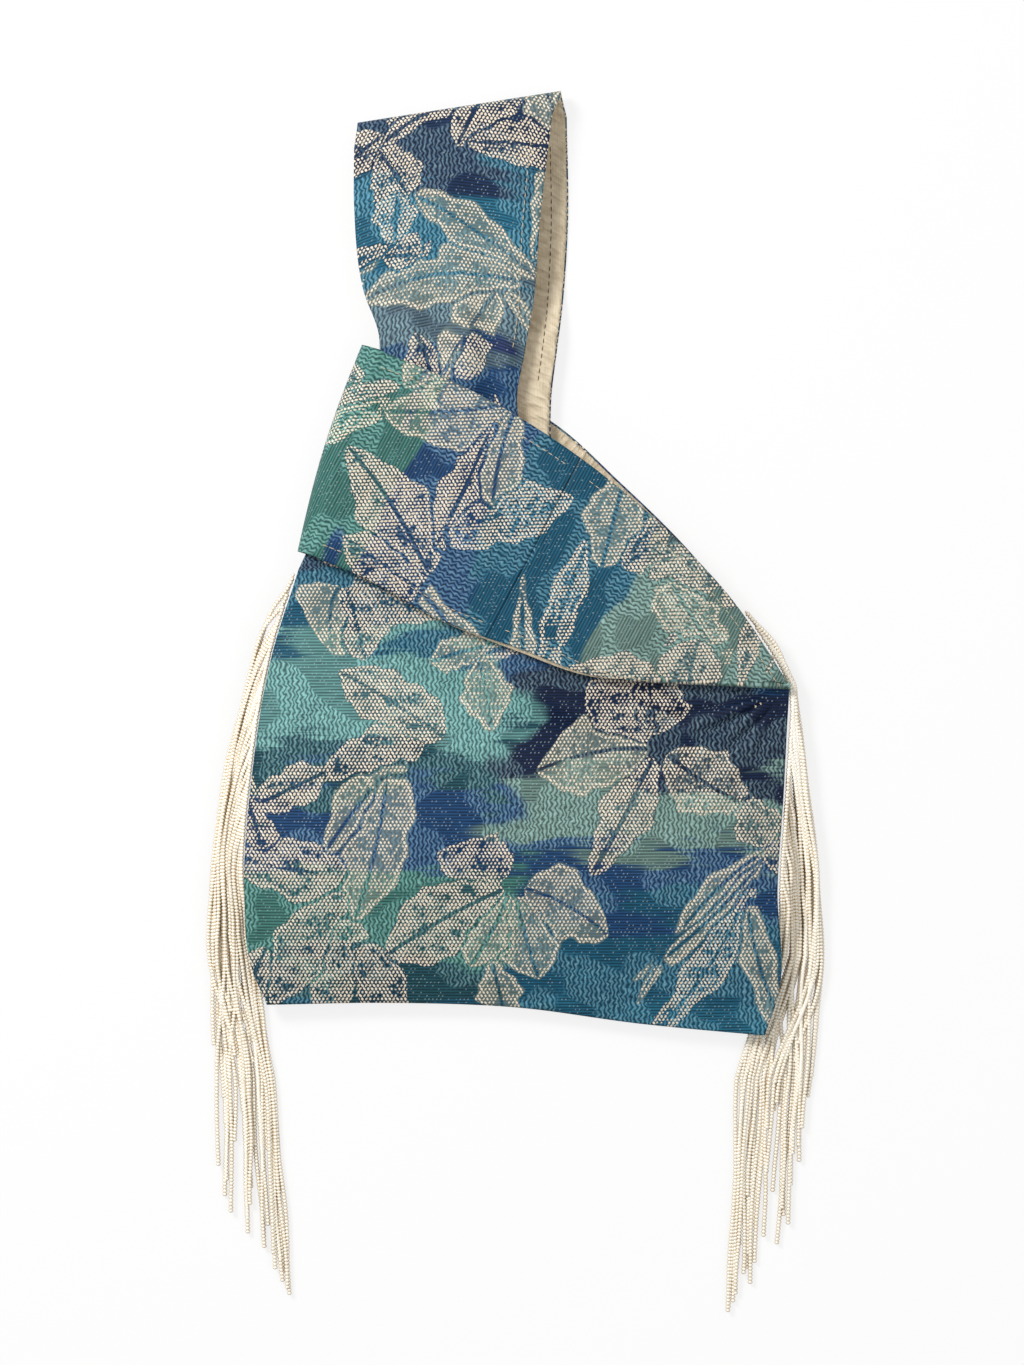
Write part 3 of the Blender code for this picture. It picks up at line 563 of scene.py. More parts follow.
def cloth_ply(name, grids, cloth, back, side, thickness, material):
    """One ply: points + side * half the ply gap * normal, with the cloth coordinates as UV."""
    points = np.vstack([g.reshape(-1, 3) for g in grids])
    piece = mesh_object(name, points, woven_faces(back, grids).tolist(), material)
    mesh = piece.data
    normals = np.empty(len(points) * 3)
    mesh.vertices.foreach_get("normal", normals)
    moved = points + side * 0.5 * PLY_GAP * normals.reshape(-1, 3)
    mesh.vertices.foreach_set("co", moved.ravel())
    corner = np.empty(len(mesh.loops), dtype=np.int32)
    mesh.loops.foreach_get("vertex_index", corner)
    coordinates = np.vstack([c.reshape(-1, 2) for c in cloth])
    mesh.uv_layers.new(name="cloth").data.foreach_set("uv", coordinates[corner].ravel())
    mesh.update()
    wall = piece.modifiers.new("thickness", "SOLIDIFY")
    wall.thickness = thickness
    wall.offset = side
    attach(piece, "root")
    print(name, len(points), "points")
    return piece, coordinates


# %% [markdown]
# ## Motifs of the jacquard
# Jacquard weaving lifts single threads, so leaves and flowers come out as dots of pale thread on
# a coloured ground. Instead of a picture, each leaf is a formula: a bent spindle around its
# midrib. Only its signed distance is stored at the points, because a distance blends between
# points without stair steps, and the shader turns it into outline, filling and vein.

# %% Leaves as formulas
def leaf_field(place, leaves):
    """Signed distance to the leaves: half width * sin(pi * t^0.85)^0.65 less the side distance.

    Each leaf is base x, base y, direction, length, width, bend, filling. t runs along the midrib,
    and the midrib bends by bend * t^2. Where two leaves meet, the lead of the nearer one counts
    too, which leaves a channel of ground between them. Returns distance, filling and the distance
    from the midrib.
    """
    best, second = np.full(len(place), -50.0), np.full(len(place), -50.0)
    filling, midrib = np.zeros(len(place)), np.full(len(place), 50.0)
    for x, y, direction, length, width, bend, fill in leaves:
        away = place - (x, y)
        cosine, sine = math.cos(direction), math.sin(direction)
        t = (away[:, 0] * cosine + away[:, 1] * sine) / length
        side = -away[:, 0] * sine + away[:, 1] * cosine - bend * np.clip(t, 0, 1) ** 2
        inside = np.clip(t, 0, 1)
        half = 0.5 * width * np.sin(np.pi * inside**0.85) ** 0.65
        past = np.maximum(np.maximum(-t, t - 1), 0) * length
        wave = (1.6 * np.sin(t * 11 + x) + 1.0 * np.sin(t * 29 + y)) * np.sin(np.pi * inside)
        distance = half + wave - np.hypot(side, past)
        better = distance > best
        second = np.where(better, best, np.maximum(second, distance))
        best = np.where(better, distance, best)
        filling = np.where(better, fill, filling)
        midrib = np.where(better, np.abs(side), midrib)
    return np.minimum(best, 0.8 * (best - second) - 0.9), filling, midrib


LEAF_ROW, LEAF_COLUMN, LEAF_JITTER = 70.0, 88.0, 14
BODY_LEAVES = ((-125, -95), (125, 335))
BAND_LEAVES = ((0, 350), (160, 640))
FRONT_SEED, BACK_SEED, BAND_SEED = 3, 11, 19


def scattered_leaves(seed, low, high):
    """A jittered grid of flower heads, sprays and grass over the cloth, as a list of leaves."""
    chance = np.random.default_rng(seed)
    leaves = []

    def grow(start, angle, length, width, bend):
        leaves.append((start[0], start[1], angle, chance.uniform(*length), chance.uniform(*width),
                       chance.uniform(-bend, bend), chance.uniform(0.55, 1.0)))

    for row, y in enumerate(np.arange(low[1], high[1], LEAF_ROW)):
        for column, x in enumerate(np.arange(low[0] + LEAF_COLUMN / 2 * (row % 2), high[0], LEAF_COLUMN)):
            centre = np.array([x, y]) + chance.uniform(-LEAF_JITTER, LEAF_JITTER, 2)
            turn = chance.uniform(0, 2 * math.pi)
            stem = np.array([math.cos(turn), math.sin(turn)])
            kind = (row + 2 * column) % 3
            if kind == 0:
                for angle in turn + np.array([0, 0.8, 1.75, 2.5, 3.7]) + chance.uniform(-0.2, 0.2, 5):
                    out = np.array([math.cos(angle), math.sin(angle)])
                    grow(centre + 5 * out, angle + chance.uniform(-0.3, 0.3), (26, 62), (18, 36), 14)
            elif kind == 1:
                for number, spread in enumerate((-1.1, -0.4, 0.3, 1.0)):
                    grow(centre + 9 * number * stem, turn + spread + chance.uniform(-0.2, 0.2),
                         (44, 76), (17, 31), 18)
            else:
                for number, spread in enumerate((-0.5, -0.15, 0.2, 0.6)):
                    grow(centre - 30 * stem + 7 * number * stem, turn + spread, (70, 115), (9, 17), 34)
                grow(centre - 24 * stem, turn + 2.4, (24, 34), (16, 22), 4)
                grow(centre - 30 * stem, turn - 2.2, (24, 38), (16, 22), 4)
    return leaves


def store(piece, name, values):
    """A number at every point of a piece, for its material to read."""
    piece.data.attributes.new(name, "FLOAT", "POINT").data.foreach_set("value", values.astype(np.float32))


print("leaves on pouch and strap:", len(scattered_leaves(FRONT_SEED, *BODY_LEAVES)))

# %% [markdown]
# ## Materials as expressions
# A shader is easier to read as a formula than as a picture of boxes. This small class stands for
# one socket: plus, minus, times and so on add the Math node that does it.

# %% A socket that can be calculated with
def math_node(operation):
    """A method that puts this value, and others if there are any, into a Math node."""
    return lambda self, *others: self.maths(operation, self, *others)


class Yarn:
    """A value that changes over a surface, with Python's operators for shader maths."""

    def __init__(self, tree, socket=None):
        self.tree, self.socket = tree, socket

    def add(self, kind, settings=None, values=None, out=0):
        """Any node: its settings first, then the values or links of its sockets."""
        node = self.tree.nodes.new(kind)
        for name, value in (settings or {}).items():
            if name == "stops":
                ramp = node.color_ramp
                ramp.interpolation = "EASE"
                while len(ramp.elements) < len(value):
                    ramp.elements.new(0.5)
                for stop, (place, colour) in zip(ramp.elements, value):
                    stop.position, stop.color = place, (*colour, 1.0)
            else:
                setattr(node, name, value)
        for name, value in (values or {}).items():
            if isinstance(value, Yarn):
                self.tree.links.new(value.socket, node.inputs[name])
            else:
                node.inputs[name].default_value = value
        return Yarn(self.tree, node.outputs[out])

    def maths(self, operation, *values):
        return self.add("ShaderNodeMath", {"operation": operation}, dict(enumerate(values)))

    __add__ = __radd__ = math_node("ADD")
    __sub__ = math_node("SUBTRACT")
    __mul__ = __rmul__ = math_node("MULTIPLY")
    __truediv__, __pow__, __abs__ = math_node("DIVIDE"), math_node("POWER"), math_node("ABSOLUTE")
    whole, part = math_node("FLOOR"), math_node("FRACT")
    most, least = math_node("MAXIMUM"), math_node("MINIMUM")

    def __rsub__(self, other):
        return self.maths("SUBTRACT", other, self)

    def wave(self):
        """Sine with a period of 1."""
        return self.maths("SINE", self * (2 * math.pi))

    def ramp(self, low, high):
        """0 up to low, 1 from high on, and soft between."""
        return self.add("ShaderNodeMapRange", {"interpolation_type": "SMOOTHSTEP"},
                        {"Value": self, "From Min": low, "From Max": high})

    def pair(self, other):
        return self.add("ShaderNodeCombineXYZ", values={"X": self, "Y": other})

    def clouds(self, other, detail=2.0):
        """Noise over two values, 0 to 1."""
        return self.add("ShaderNodeTexNoise", {"noise_dimensions": "2D"},
                        {"Vector": self.pair(other), "Scale": 1.0, "Detail": detail})

    def chance(self, other):
        """An own random number for each pair of whole values."""
        return self.add("ShaderNodeTexWhiteNoise", {"noise_dimensions": "2D"}, {"Vector": self.pair(other)})

    def stops(self, stops):
        return self.add("ShaderNodeValToRGB", {"stops": stops}, {"Fac": self})

    def dye(self, first, second, mode="MIX"):
        """Mixes two colours. This value is the share of the second."""
        first, second = [c if isinstance(c, Yarn) else (*c, 1.0) for c in (first, second)]
        return self.add("ShaderNodeMix", {"data_type": "RGBA", "blend_type": mode},
                        {0: self, 6: first, 7: second}, out=2)


def colour(red, green, blue):
    """Linear colour of a screen colour: ((c + 0.055) / 1.055)^2.4 above the dark end."""
    screen = np.array([red, green, blue]) / 255
    return tuple(np.where(screen < 0.04045, screen / 12.92, ((screen + 0.055) / 1.055) ** 2.4).tolist())


def new_material(name):
    """A material with its shader, and an empty Yarn to start formulas from."""
    material = bpy.data.materials.new(name)
    material.use_nodes = True
    return material, material.node_tree.nodes["Principled BSDF"], Yarn(material.node_tree)


def cloth_place(yarn):
    """The two cloth coordinates in millimetres: across and along."""
    place = yarn.add("ShaderNodeUVMap", {"uv_map": "cloth"})
    return [yarn.add("ShaderNodeSeparateXYZ", values={"Vector": place}, out=axis) for axis in (0, 1)]


def bumped(yarn, strength, distance, height):
    """A normal tilted by a height; distance is the height of 1 in metres."""
    return yarn.add("ShaderNodeBump", values={"Strength": strength, "Distance": distance, "Height": height})


def feed(shader, sockets):
    """Links what varies to the shader's sockets, and sets what is the same all over."""
    for name, value in sockets.items():
        if isinstance(value, Yarn):
            value.tree.links.new(value.socket, shader.inputs[name])
        else:
            shader.inputs[name].default_value = value


print("beige thread:", [round(c, 3) for c in colour(216, 198, 170)])

# %% [markdown]
# ## The jacquard
# The ground is dyed in uneven fields that run across the cloth, from navy to sea green. It is
# woven in two ways: zigzag floats, and plain ribs with tiny pale specks. The motifs are pale dots
# in brick order. They get smaller where a leaf is thin and drop out at random near its edge.

# %% Dye fields
DYE_START, DYE_LENGTH = -105, 660
FIELD_BLEND = 3
NAVY, NIGHT, ROYAL = colour(24, 50, 86), colour(14, 34, 68), colour(28, 72, 118)
INDIGO, TEAL, SEA = colour(44, 60, 106), colour(24, 92, 120), colour(36, 108, 136)
AQUA, PINE, GREEN = colour(100, 152, 150), colour(32, 82, 94), colour(70, 126, 118)
SLATE, MIST = colour(88, 112, 126), colour(112, 142, 134)


def fields(*pieces):
    """Ramp stops for fields of (width in mm, colour): two each, FIELD_BLEND mm in from the ends."""
    stops, place = [], 0.0
    for width, dye in pieces:
        stops += [((place + FIELD_BLEND) / DYE_LENGTH, dye),
                  ((place + width - FIELD_BLEND) / DYE_LENGTH, dye)]
        place += width
    return stops


DYE_ONE = fields((30, TEAL), (24, PINE), (42, GREEN), (32, ROYAL), (22, PINE), (44, AQUA),
                 (30, TEAL), (34, NAVY), (34, TEAL), (36, ROYAL), (26, SLATE), (48, SEA),
                 (40, NAVY), (218, TEAL))
DYE_TWO = fields((34, SEA), (40, TEAL), (28, ROYAL), (28, MIST), (50, NIGHT), (44, ROYAL),
                 (34, TEAL), (34, NAVY), (36, INDIGO), (36, SLATE), (44, TEAL), (42, NAVY),
                 (42, GREEN), (46, ROYAL), (64, TEAL), (58, MIST))
print(len(DYE_ONE), "and", len(DYE_TWO), "dye stops")

# %% Dyed ground and zigzag floats
ZIGZAG_PITCH, ZIGZAG_PERIOD = 1.95, 3.4
RIB_PITCH = 1.3


def dyed_ground(u, v, field):
    """Dye along the cloth, moved by wide drifts and by streaks as fine as single threads."""
    drift = (u / 52).clouds(v / 15, 2.0) - 0.5
    streak = (u / 24).clouds(v / 0.95, 1.0) - 0.5
    height = (v + drift * 62 + streak * 15 - DYE_START) / DYE_LENGTH
    swap = (u / 40 + 7).clouds(v / 22 + 3, 2.0) - 0.5
    return (field + swap * 1.3).ramp(0.38, 0.62).dye(height.stops(DYE_ONE), height.stops(DYE_TWO))


def zigzag_floats(u, v):
    """Sine across the cloth, pushed to and fro by a triangle wave along it and broken up by noise."""
    bent = v + (u / 2.5).clouds(v / 7, 1.0) * ZIGZAG_PERIOD
    corner = abs((bent / ZIGZAG_PERIOD).part() - 0.5) * 2
    wander = (u / 6).clouds(v / 5, 1.0) * 1.3
    zigzag = ((u / ZIGZAG_PITCH + corner * 0.5 + wander).wave() * 0.5 + 0.5) ** 0.8
    return zigzag * (0.3 + 1.4 * (u / 1.6).clouds(v / 3))


print("zigzags every", ZIGZAG_PITCH, "mm, ribs every", RIB_PITCH, "mm")

# %% Dots in brick order
DOT_PITCH, ROW_PITCH = 1.72, 1.5


def dot_lattice(u, v):
    """For each brick of the lattice its random number, and the distance from its middle in mm."""
    row = (v / ROW_PITCH).whole()
    shifted = u / DOT_PITCH + (row / 2).part()
    toss = shifted.whole().chance(row)
    along = ((v / ROW_PITCH).part() - 0.5) * ROW_PITCH
    across = (shifted.part() - 0.5) * DOT_PITCH + along * (toss - 0.5) * 1.1
    return toss, (across * across * 1.25 + along * along * 0.85) ** 0.5


def leaf_weave(u, v, edge, filling, midrib):
    """Where the leaf is, its part outside the vein, and how densely dots fill that.

    The density is highest on the outline, patchy within, and 0 in the gap along the midrib.
    """
    inside = edge.ramp(-0.5, 0.5)
    outline = 1 - (abs(edge - 1.6) / 2.0).least(1.0)
    veined = (abs(filling - 0.8) - 0.03).ramp(0.0, 0.05) * (edge * 0.4).least(1.0)
    blade = inside * (1 - (1.2 - midrib).ramp(0.0, 0.8) * veined)
    patch = ((u / 9).clouds(v / 6 + 4, 2.0) - 0.5).ramp(-0.2, 0.16) * 0.6 + 0.48
    return inside, blade, blade * (outline * 1.15).most(filling * patch).least(1.0)


print("dots", DOT_PITCH, "mm apart in rows", ROW_PITCH, "mm apart")


# %% Jacquard material
def jacquard():
    """Dyed ground, zigzag floats or ribs, and pale dots where a leaf is."""
    material, shader, yarn = new_material("jacquard_cloth")
    u, v = cloth_place(yarn)
    edge, filling, midrib, field = [
        yarn.add("ShaderNodeAttribute", {"attribute_name": name}, out=2)
        for name in ("leaf_edge", "leaf_fill", "leaf_rib", "dye_field")]
    ground = dyed_ground(u, v, field)
    thread = (u / 9).clouds(v / 0.8, 0.0)

    # Ribs take turns with the floats, and some bricks of the lattice have a pale speck there
    ribbed = ((u / 34 + 20).clouds(v / 26 + 9, 1.0) - 0.5).ramp(0.03, 0.07)
    rib = (v / RIB_PITCH).wave() * 0.5 + 0.5
    relief = zigzag_floats(u, v) * (1 - ribbed) + rib * ribbed * 0.6
    toss, away = dot_lattice(u, v)
    speck = (0.3 - away).ramp(-0.12, 0.12) * ribbed * (0.4 - toss).ramp(0.0, 0.1)

    # A dot is kept where the density beats its random number, and grows with the density
    inside, blade, dense = leaf_weave(u, v, edge, filling, midrib)
    kept = (dense * 1.55 - toss).ramp(0.0, 0.12)
    dot = (0.34 + 0.36 * dense - away).ramp(-0.14, 0.2) * kept

    # Colours: ground, darker between the floats and ribs and lighter on them, partly their woven pattern
    # and partly painted shade and a painted sheen; a sage or dark bed for the leaves, specks, dots
    tone = 0.16 + 1.02 * relief + 0.3 * thread
    shaded = yarn.add("ShaderNodeVectorMath", {"operation": "SCALE"}, {0: ground, "Scale": tone})
    light = (relief * relief * (1 - ribbed) * 0.24).dye(shaded, colour(158, 190, 186))
    sage = (blade * (0.74 - filling).ramp(0.0, 0.08) * 0.5).dye(light, colour(118, 132, 122))
    dark = (inside * (filling - 0.74).ramp(0.0, 0.06) * 0.5).dye(sage, colour(18, 42, 70))
    specked = (speck * (1 - inside) * 0.42).dye(dark, colour(170, 188, 196))
    beige = (toss * 0.6 + thread * 0.4).dye(colour(208, 192, 168), colour(244, 232, 212))
    raised = dot + relief * (1 - dot) * 0.55 + thread * 0.1
    feed(shader, {"Base Color": dot.dye(specked, beige), "Roughness": 0.62 - 0.14 * relief * (1 - dot),
                  "Normal": bumped(yarn, 0.75, 0.45 * MM, raised), "Specular IOR Level": 0.18,
                  "Sheen Weight": 0.02, "Sheen Roughness": 0.4})
    print("jacquard:", len(material.node_tree.nodes), "nodes")
    return material


jacquard_cloth = jacquard()

# %% [markdown]
# ## Jacquard panels
# Front and back get their own scatter of leaves. A slow change of the dye field over the cloth
# stands for the two dye orders of the warp, and the band's part of the cloth has only one. The
# back's pouch and strap lie on the table, where every second row is enough.

# %% Make the jacquard panels
BAND_CLOTH = 336


def cloth_area(grid):
    """Sum of the cross products of each quad's two sides, in square metres."""
    return np.linalg.norm(np.cross(grid[1:, :-1] - grid[:-1, :-1], grid[:-1, 1:] - grid[:-1, :-1]),
                          axis=2).sum()


for name, grids, cloth, back, seed in (
        ("front_jacquard", front_grids, front_cloth, False, FRONT_SEED),
        ("back_jacquard", back_grids, back_cloth, True, BACK_SEED)):
    if back:
        grids, cloth = [(part[0][::2], part[1][::-2][::-1], part[2]) for part in (grids, cloth)]
    ply, coordinates = cloth_ply(name, grids, cloth, back, 1, CLOTH, jacquard_cloth)
    leaves = scattered_leaves(seed, *BODY_LEAVES) + scattered_leaves(BAND_SEED, *BAND_LEAVES)
    edge, fill, rib = leaf_field(coordinates, leaves)
    order = np.where(coordinates[:, 1] > BAND_CLOTH, 1.0, soft((coordinates[:, 0] + 45) / 90))
    for attribute, values in (("leaf_edge", edge), ("leaf_fill", fill), ("leaf_rib", rib),
                              ("dye_field", order)):
        store(ply, attribute, values)
    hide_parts("outer_back_panel" if back else "outer_front_panel")
    print(name, "cloth area", round(sum(cloth_area(grid) for grid in grids), 4),
          "m2; share under leaves", round(float((edge > 0).mean()), 2))

# %% [markdown]
# ## Satin lining
# Beige satin, close to the jacquard's inner side. Its threads are too fine to see one by one, so a
# faint line along the cloth, soft creases and the puckers that topstitching pulls are enough; the
# colour is darker in the hollows of the creases and puckers as painted shade.

# %% Lining material
def satin():
    """Beige with faint threads, slow creases, and short puckers that run across the cloth. The creases and
    puckers are bumps and are also painted into the colour: painted shade in their hollows, lighter on their
    crests.
    """
    material, shader, yarn = new_material("lining_cloth")
    u, v = cloth_place(yarn)
    thread = (u / 0.5).clouds(v / 9, 1.0)
    crease = (u / 13).clouds(v / 8, 3.0)
    pucker = (u / 9).clouds((v + u * 0.35) / 2.6, 1.0)
    # Tone: faint threads as real tone, plus painted shade in the hollows of the creases and puckers, which
    # follow the same noise as the bumps.
    tone = thread * 0.25 + crease * 0.35 + pucker * 0.4
    height = crease * 1.5 + pucker * 1.6 + thread * 0.15
    feed(shader, {"Base Color": tone.ramp(0.2, 0.8).dye(colour(186, 168, 138), colour(231, 216, 188)),
                  "Roughness": 0.5 + 0.14 * thread, "Normal": bumped(yarn, 0.8, 1.2 * MM, height),
                  "Sheen Weight": 0.1})
    return material


lining_cloth = satin()
print("lining:", len(lining_cloth.node_tree.nodes), "nodes")

# %% [markdown]
# The lining is mostly hidden, so its grid takes every second row and column. It peeps out 1.5 mm
# under the band's lower edge, and on the back it stops a little short of the jacquard, whose edge
# shows as a blue line.

# %% Make the lining panels
PEEP = 1.5 * MM
SHORT_OF_EDGE = 0.33


def coarser(grid):
    """Every second column and, counted from the last, every second row."""
    return grid[::-2, ::2][::-1].copy()


for name, grids, cloth, back in (("front_lining", front_grids, front_cloth, False),
                                 ("back_lining", back_grids, back_cloth, True)):
    pouch, strap, band = [coarser(grid) for grid in grids]
    shown = bell(band[:, :1, 0] - 8 * MM, 26 * MM) * (band[:, :1, 2] > BAND_LEVEL - 1 * MM)
    band[:, :1, 1] -= PEEP * shown
    if back:
        for part in (strap, band):
            part[:, -1] += SHORT_OF_EDGE * (part[:, -2] - part[:, -1])
    coarse_cloth = [coarser(part) for part in cloth]
    ply, _ = cloth_ply(name, (pouch, strap, band), coarse_cloth, back, -1, LINING, lining_cloth)
    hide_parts("lining_back_panel" if back else "lining_front_panel")

# %% [markdown]
# ## Bead fringe
# Seed beads about 2.1 mm wide are threaded on strands of one length, 199 mm, and the strands are
# sewn to a heading in the side seam. Each strand is one tube along its path whose radius swells
# and narrows bead by bead. The upper strands lie outside, the lower ones inside, and all of them
# settle on the table in a loose heap.

# %% Path of the side seam
STRAND = 2.1 * MM
STRAND_LENGTH = 199 * MM
HEADING = 2.4 * MM
BEADS = 132
STRANDS = 34
SIDES = 6
SEWN_LEFT, SEWN_RIGHT = (4 * MM, 122 * MM), (3 * MM, 121 * MM)  # First strand, and run of them all


def distances(line):
    """Distance travelled along a line at each of its points."""
    return np.concatenate([[0], np.cumsum(np.linalg.norm(np.diff(line, axis=0), axis=1))])


def at_distances(marks, travelled, line):
    """Points of a line at given marks of the distance travelled, each axis by linear interpolation."""
    return np.stack([np.interp(marks, travelled, line[:, axis]) for axis in range(3)], axis=-1)


def seam_path(right):
    """The heading's path: the side seam moved out past its own radius, from the top down."""
    plan = through(RIGHT_SEAM if right else LEFT_SEAM, steps(60)[::-1])
    if right:
        top = share_at(UPPER_EDGE, mm((98, 102.5))[0])
        plan = np.vstack([through(UPPER_EDGE, np.linspace(top, 0.004, 8)), plan])
    along = np.gradient(plan, axis=0)
    along /= np.linalg.norm(along, axis=1)[:, None]
    outward = np.column_stack([-along[:, 1], along[:, 0]]) * (1 if right else -1)
    plan = plan + outward * (HEADING / 2 + (0.9 if right else 0.4) * MM)
    low = BOTTOM_HEIGHT + 2 * MM
    if right:
        top = 0.5 * (BACK_FOLD_LEVEL + SHOULDER_LEVEL)
        height = np.interp(plan[:, 1], mm((-80, -35, 5, 32))[0], [low, SIDE_HEIGHT, SIDE_HEIGHT, top])
    else:
        top = 0.5 * (BACK_FOLD_LEVEL + STRAP_LEVEL)
        height = np.interp(plan[:, 1], mm((-70, -20, 45, 90, 122))[0],
                           [low, SIDE_HEIGHT, SIDE_HEIGHT, 0.5 * (SIDE_HEIGHT + top), top])
    return distances(plan), np.column_stack([plan, height])


print("left seam", round(seam_path(False)[0][-1] / MM), "mm, right seam",
      round(seam_path(True)[0][-1] / MM), "mm")

# %% [markdown]
# The outline of each bundle is drawn as an outer and an inner curve, and every strand runs at a
# share between them. Along the seam the strands that are sewn so far share the width in order.
# Below it each keeps a lane of its own: those from high up stay outside and end first, which
# gives the tails their staircase of tips.

# %% Outlines and lanes of the strands
LEFT_OUTER = mm((-97, 128), (-106.5, 107), (-113.5, 89), (-118, 72), (-127, 36), (-132.5, 1), (-135, -34),
                (-135.6, -68), (-132.5, -100), (-131.5, -140), (-131.3, -175), (-131, -225))
LEFT_INNER = mm((-118.5, -40), (-111, -76), (-106.5, -104), (-104, -140), (-101.5, -175), (-99, -225))
RIGHT_OUTER = mm((102, 105), (111, 91), (118.5, 74), (124, 54), (129, 19), (133.5, -16), (134.5, -50),
                 (132.5, -80), (128.5, -115), (126.5, -150), (125.5, -185), (125, -225))
RIGHT_INNER = mm((116, -50), (102, -84), (97, -104), (95, -140), (93, -188), (92, -225))


def strand_lanes(chance, start, y, order, seam_end):
    """Share between the inner side, 0, and the outer side, 1, for each strand and height y.

    Along the seam: (sewn - order) / sewn, where sewn is the share of strands that start higher.
    Below: the rank of (1 - order^4) * random number.
    """
    sewn = np.clip((start[0, 1] - y) / (start[0, 1] - start[-1, 1]), 0.04, 1) ** 1.33
    lane = (sewn - order[:, None]) / sewn + chance.uniform(-0.12, 0.12, (STRANDS, 1))
    lane = np.clip(lane, 0.02, 0.98)
    spread = np.argsort(np.argsort((1 - order**4) * chance.uniform(0.45, 1, STRANDS))) / STRANDS + 0.02
    return lane + (spread[:, None] - lane) * soft((y - seam_end) / (-60 * MM))


def strand_wave(chance, drop, shortest, longest):
    """sin(drop / length + phase), both random for each strand."""
    return np.sin(drop / MM / chance.uniform(shortest, longest, (STRANDS, 1))
                  + chance.uniform(0, 6, (STRANDS, 1)))


print("outlines of", len(LEFT_OUTER), "and", len(RIGHT_OUTER), "points")

# %% Routes of the strands
LEFT_SIDE, RIGHT_SIDE = (False, 5), (True, 6)
STEP_OUT = 16 * MM
FALL = 70 * MM
HEAP = 6.5 * MM
TABLE_GAP = 0.1 * MM


def strand_routes(right, seed):
    """Centre lines: off the heading in a soft step out to a lane, down to a layer, with slow waves."""
    chance = np.random.default_rng(seed)
    travelled, path = seam_path(right)
    first, run = SEWN_RIGHT if right else SEWN_LEFT
    order = steps(STRANDS)
    start = at_distances(first + run * order**0.8, travelled, path)
    outer = through(RIGHT_OUTER if right else LEFT_OUTER, steps(120))[::-1]
    inner = (RIGHT_INNER if right else LEFT_INNER)[::-1]
    drop = np.linspace(0, STRAND_LENGTH * 1.05, 260)[None]
    y = start[:, 1:2] - drop
    seam_x = np.interp(y, path[::-1, 1], path[::-1, 0])
    beside_seam = seam_x + (0.6 if right else -0.6) * MM
    inside_x = np.interp(y, inner[:, 1], inner[:, 0])
    inside_x += (beside_seam - inside_x) * soft((y - inner[-1, 1]) / (30 * MM))
    outside_x = np.interp(y, outer[:, 1], outer[:, 0])
    lane = strand_lanes(chance, start, y, order, inner[-1, 1])
    wave = 0.75 * MM * (strand_wave(chance, drop, 16, 30) + 0.5 * strand_wave(chance, drop, 7, 12))
    across = inside_x + (outside_x - inside_x) * lane - seam_x
    x = seam_x + (across + wave) * soft(drop / STEP_OUT)
    heap = TABLE_GAP + chance.permutation(STRANDS)[:, None] / STRANDS * HEAP
    layer = STRAND / 2 + TABLE_GAP + heap * (0.32 + 0.68 * soft((y + 95 * MM) / (110 * MM)))
    lifted = start[:, 2:3] + 0.7 * MM
    z = lifted + (layer - lifted) * soft(drop / FALL)
    lines = np.stack([x, np.broadcast_to(y, x.shape), z], axis=2)
    marks = np.linspace(0, STRAND_LENGTH, BEADS * 3 + 1)
    return np.stack([at_distances(marks, distances(line), line) for line in lines])


print("lowest tips:", [round(strand_routes(*side)[..., 1].min() / MM) for side in (LEFT_SIDE, RIGHT_SIDE)])


# %% Tubes along the routes
def tubes(routes, radius, sides):
    """Rings of points about each centre line, normal to it, and the quads and end caps between.

    point = centre + radius * (cos a * across + sin a * over), radius given along the line.
    """
    count, length, _ = routes.shape
    along = np.gradient(routes, axis=1)
    along /= np.linalg.norm(along, axis=2, keepdims=True)
    across = np.cross(along, (0.0, 0.0, 1.0))
    across /= np.maximum(np.linalg.norm(across, axis=2, keepdims=True), 1e-9)
    over = np.cross(across, along)
    angle = np.linspace(0, 2 * math.pi, sides, endpoint=False)
    ring = (across[:, :, None] * np.cos(angle)[None, None, :, None]
            + over[:, :, None] * np.sin(angle)[None, None, :, None])
    points = routes[:, :, None] + ring * np.broadcast_to(radius, (count, length))[:, :, None, None]
    index = np.arange(count * length * sides).reshape(count, length, sides)
    turned = np.roll(index, -1, axis=2)
    quads = np.stack([index[:, :-1], index[:, 1:], turned[:, 1:], turned[:, :-1]], axis=3).reshape(-1, 4)
    caps = [*index[:, 0].tolist(), *index[:, -1, ::-1].tolist()]
    return points.reshape(-1, 3), quads, caps


def tube_object(name, sets, material):
    """One mesh object of several sets of tubes."""
    points, faces, shift = [], [], 0
    for part, quads, caps in sets:
        points.append(part)
        faces += (quads + shift).tolist() + [[corner + shift for corner in cap] for cap in caps]
        shift += len(part)
    piece = mesh_object(name, np.vstack(points), faces, material)
    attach(piece, "root")
    return piece


# %% [markdown]
# The beads are ivory glass: a coat for the gloss, and a base colour that differs a little from bead
# to bead. A waisted radius shows the beads, with three rings for each, and their colour is painted
# with light and shade: pale on top of each bead, warm amber as painted shade between and under them.

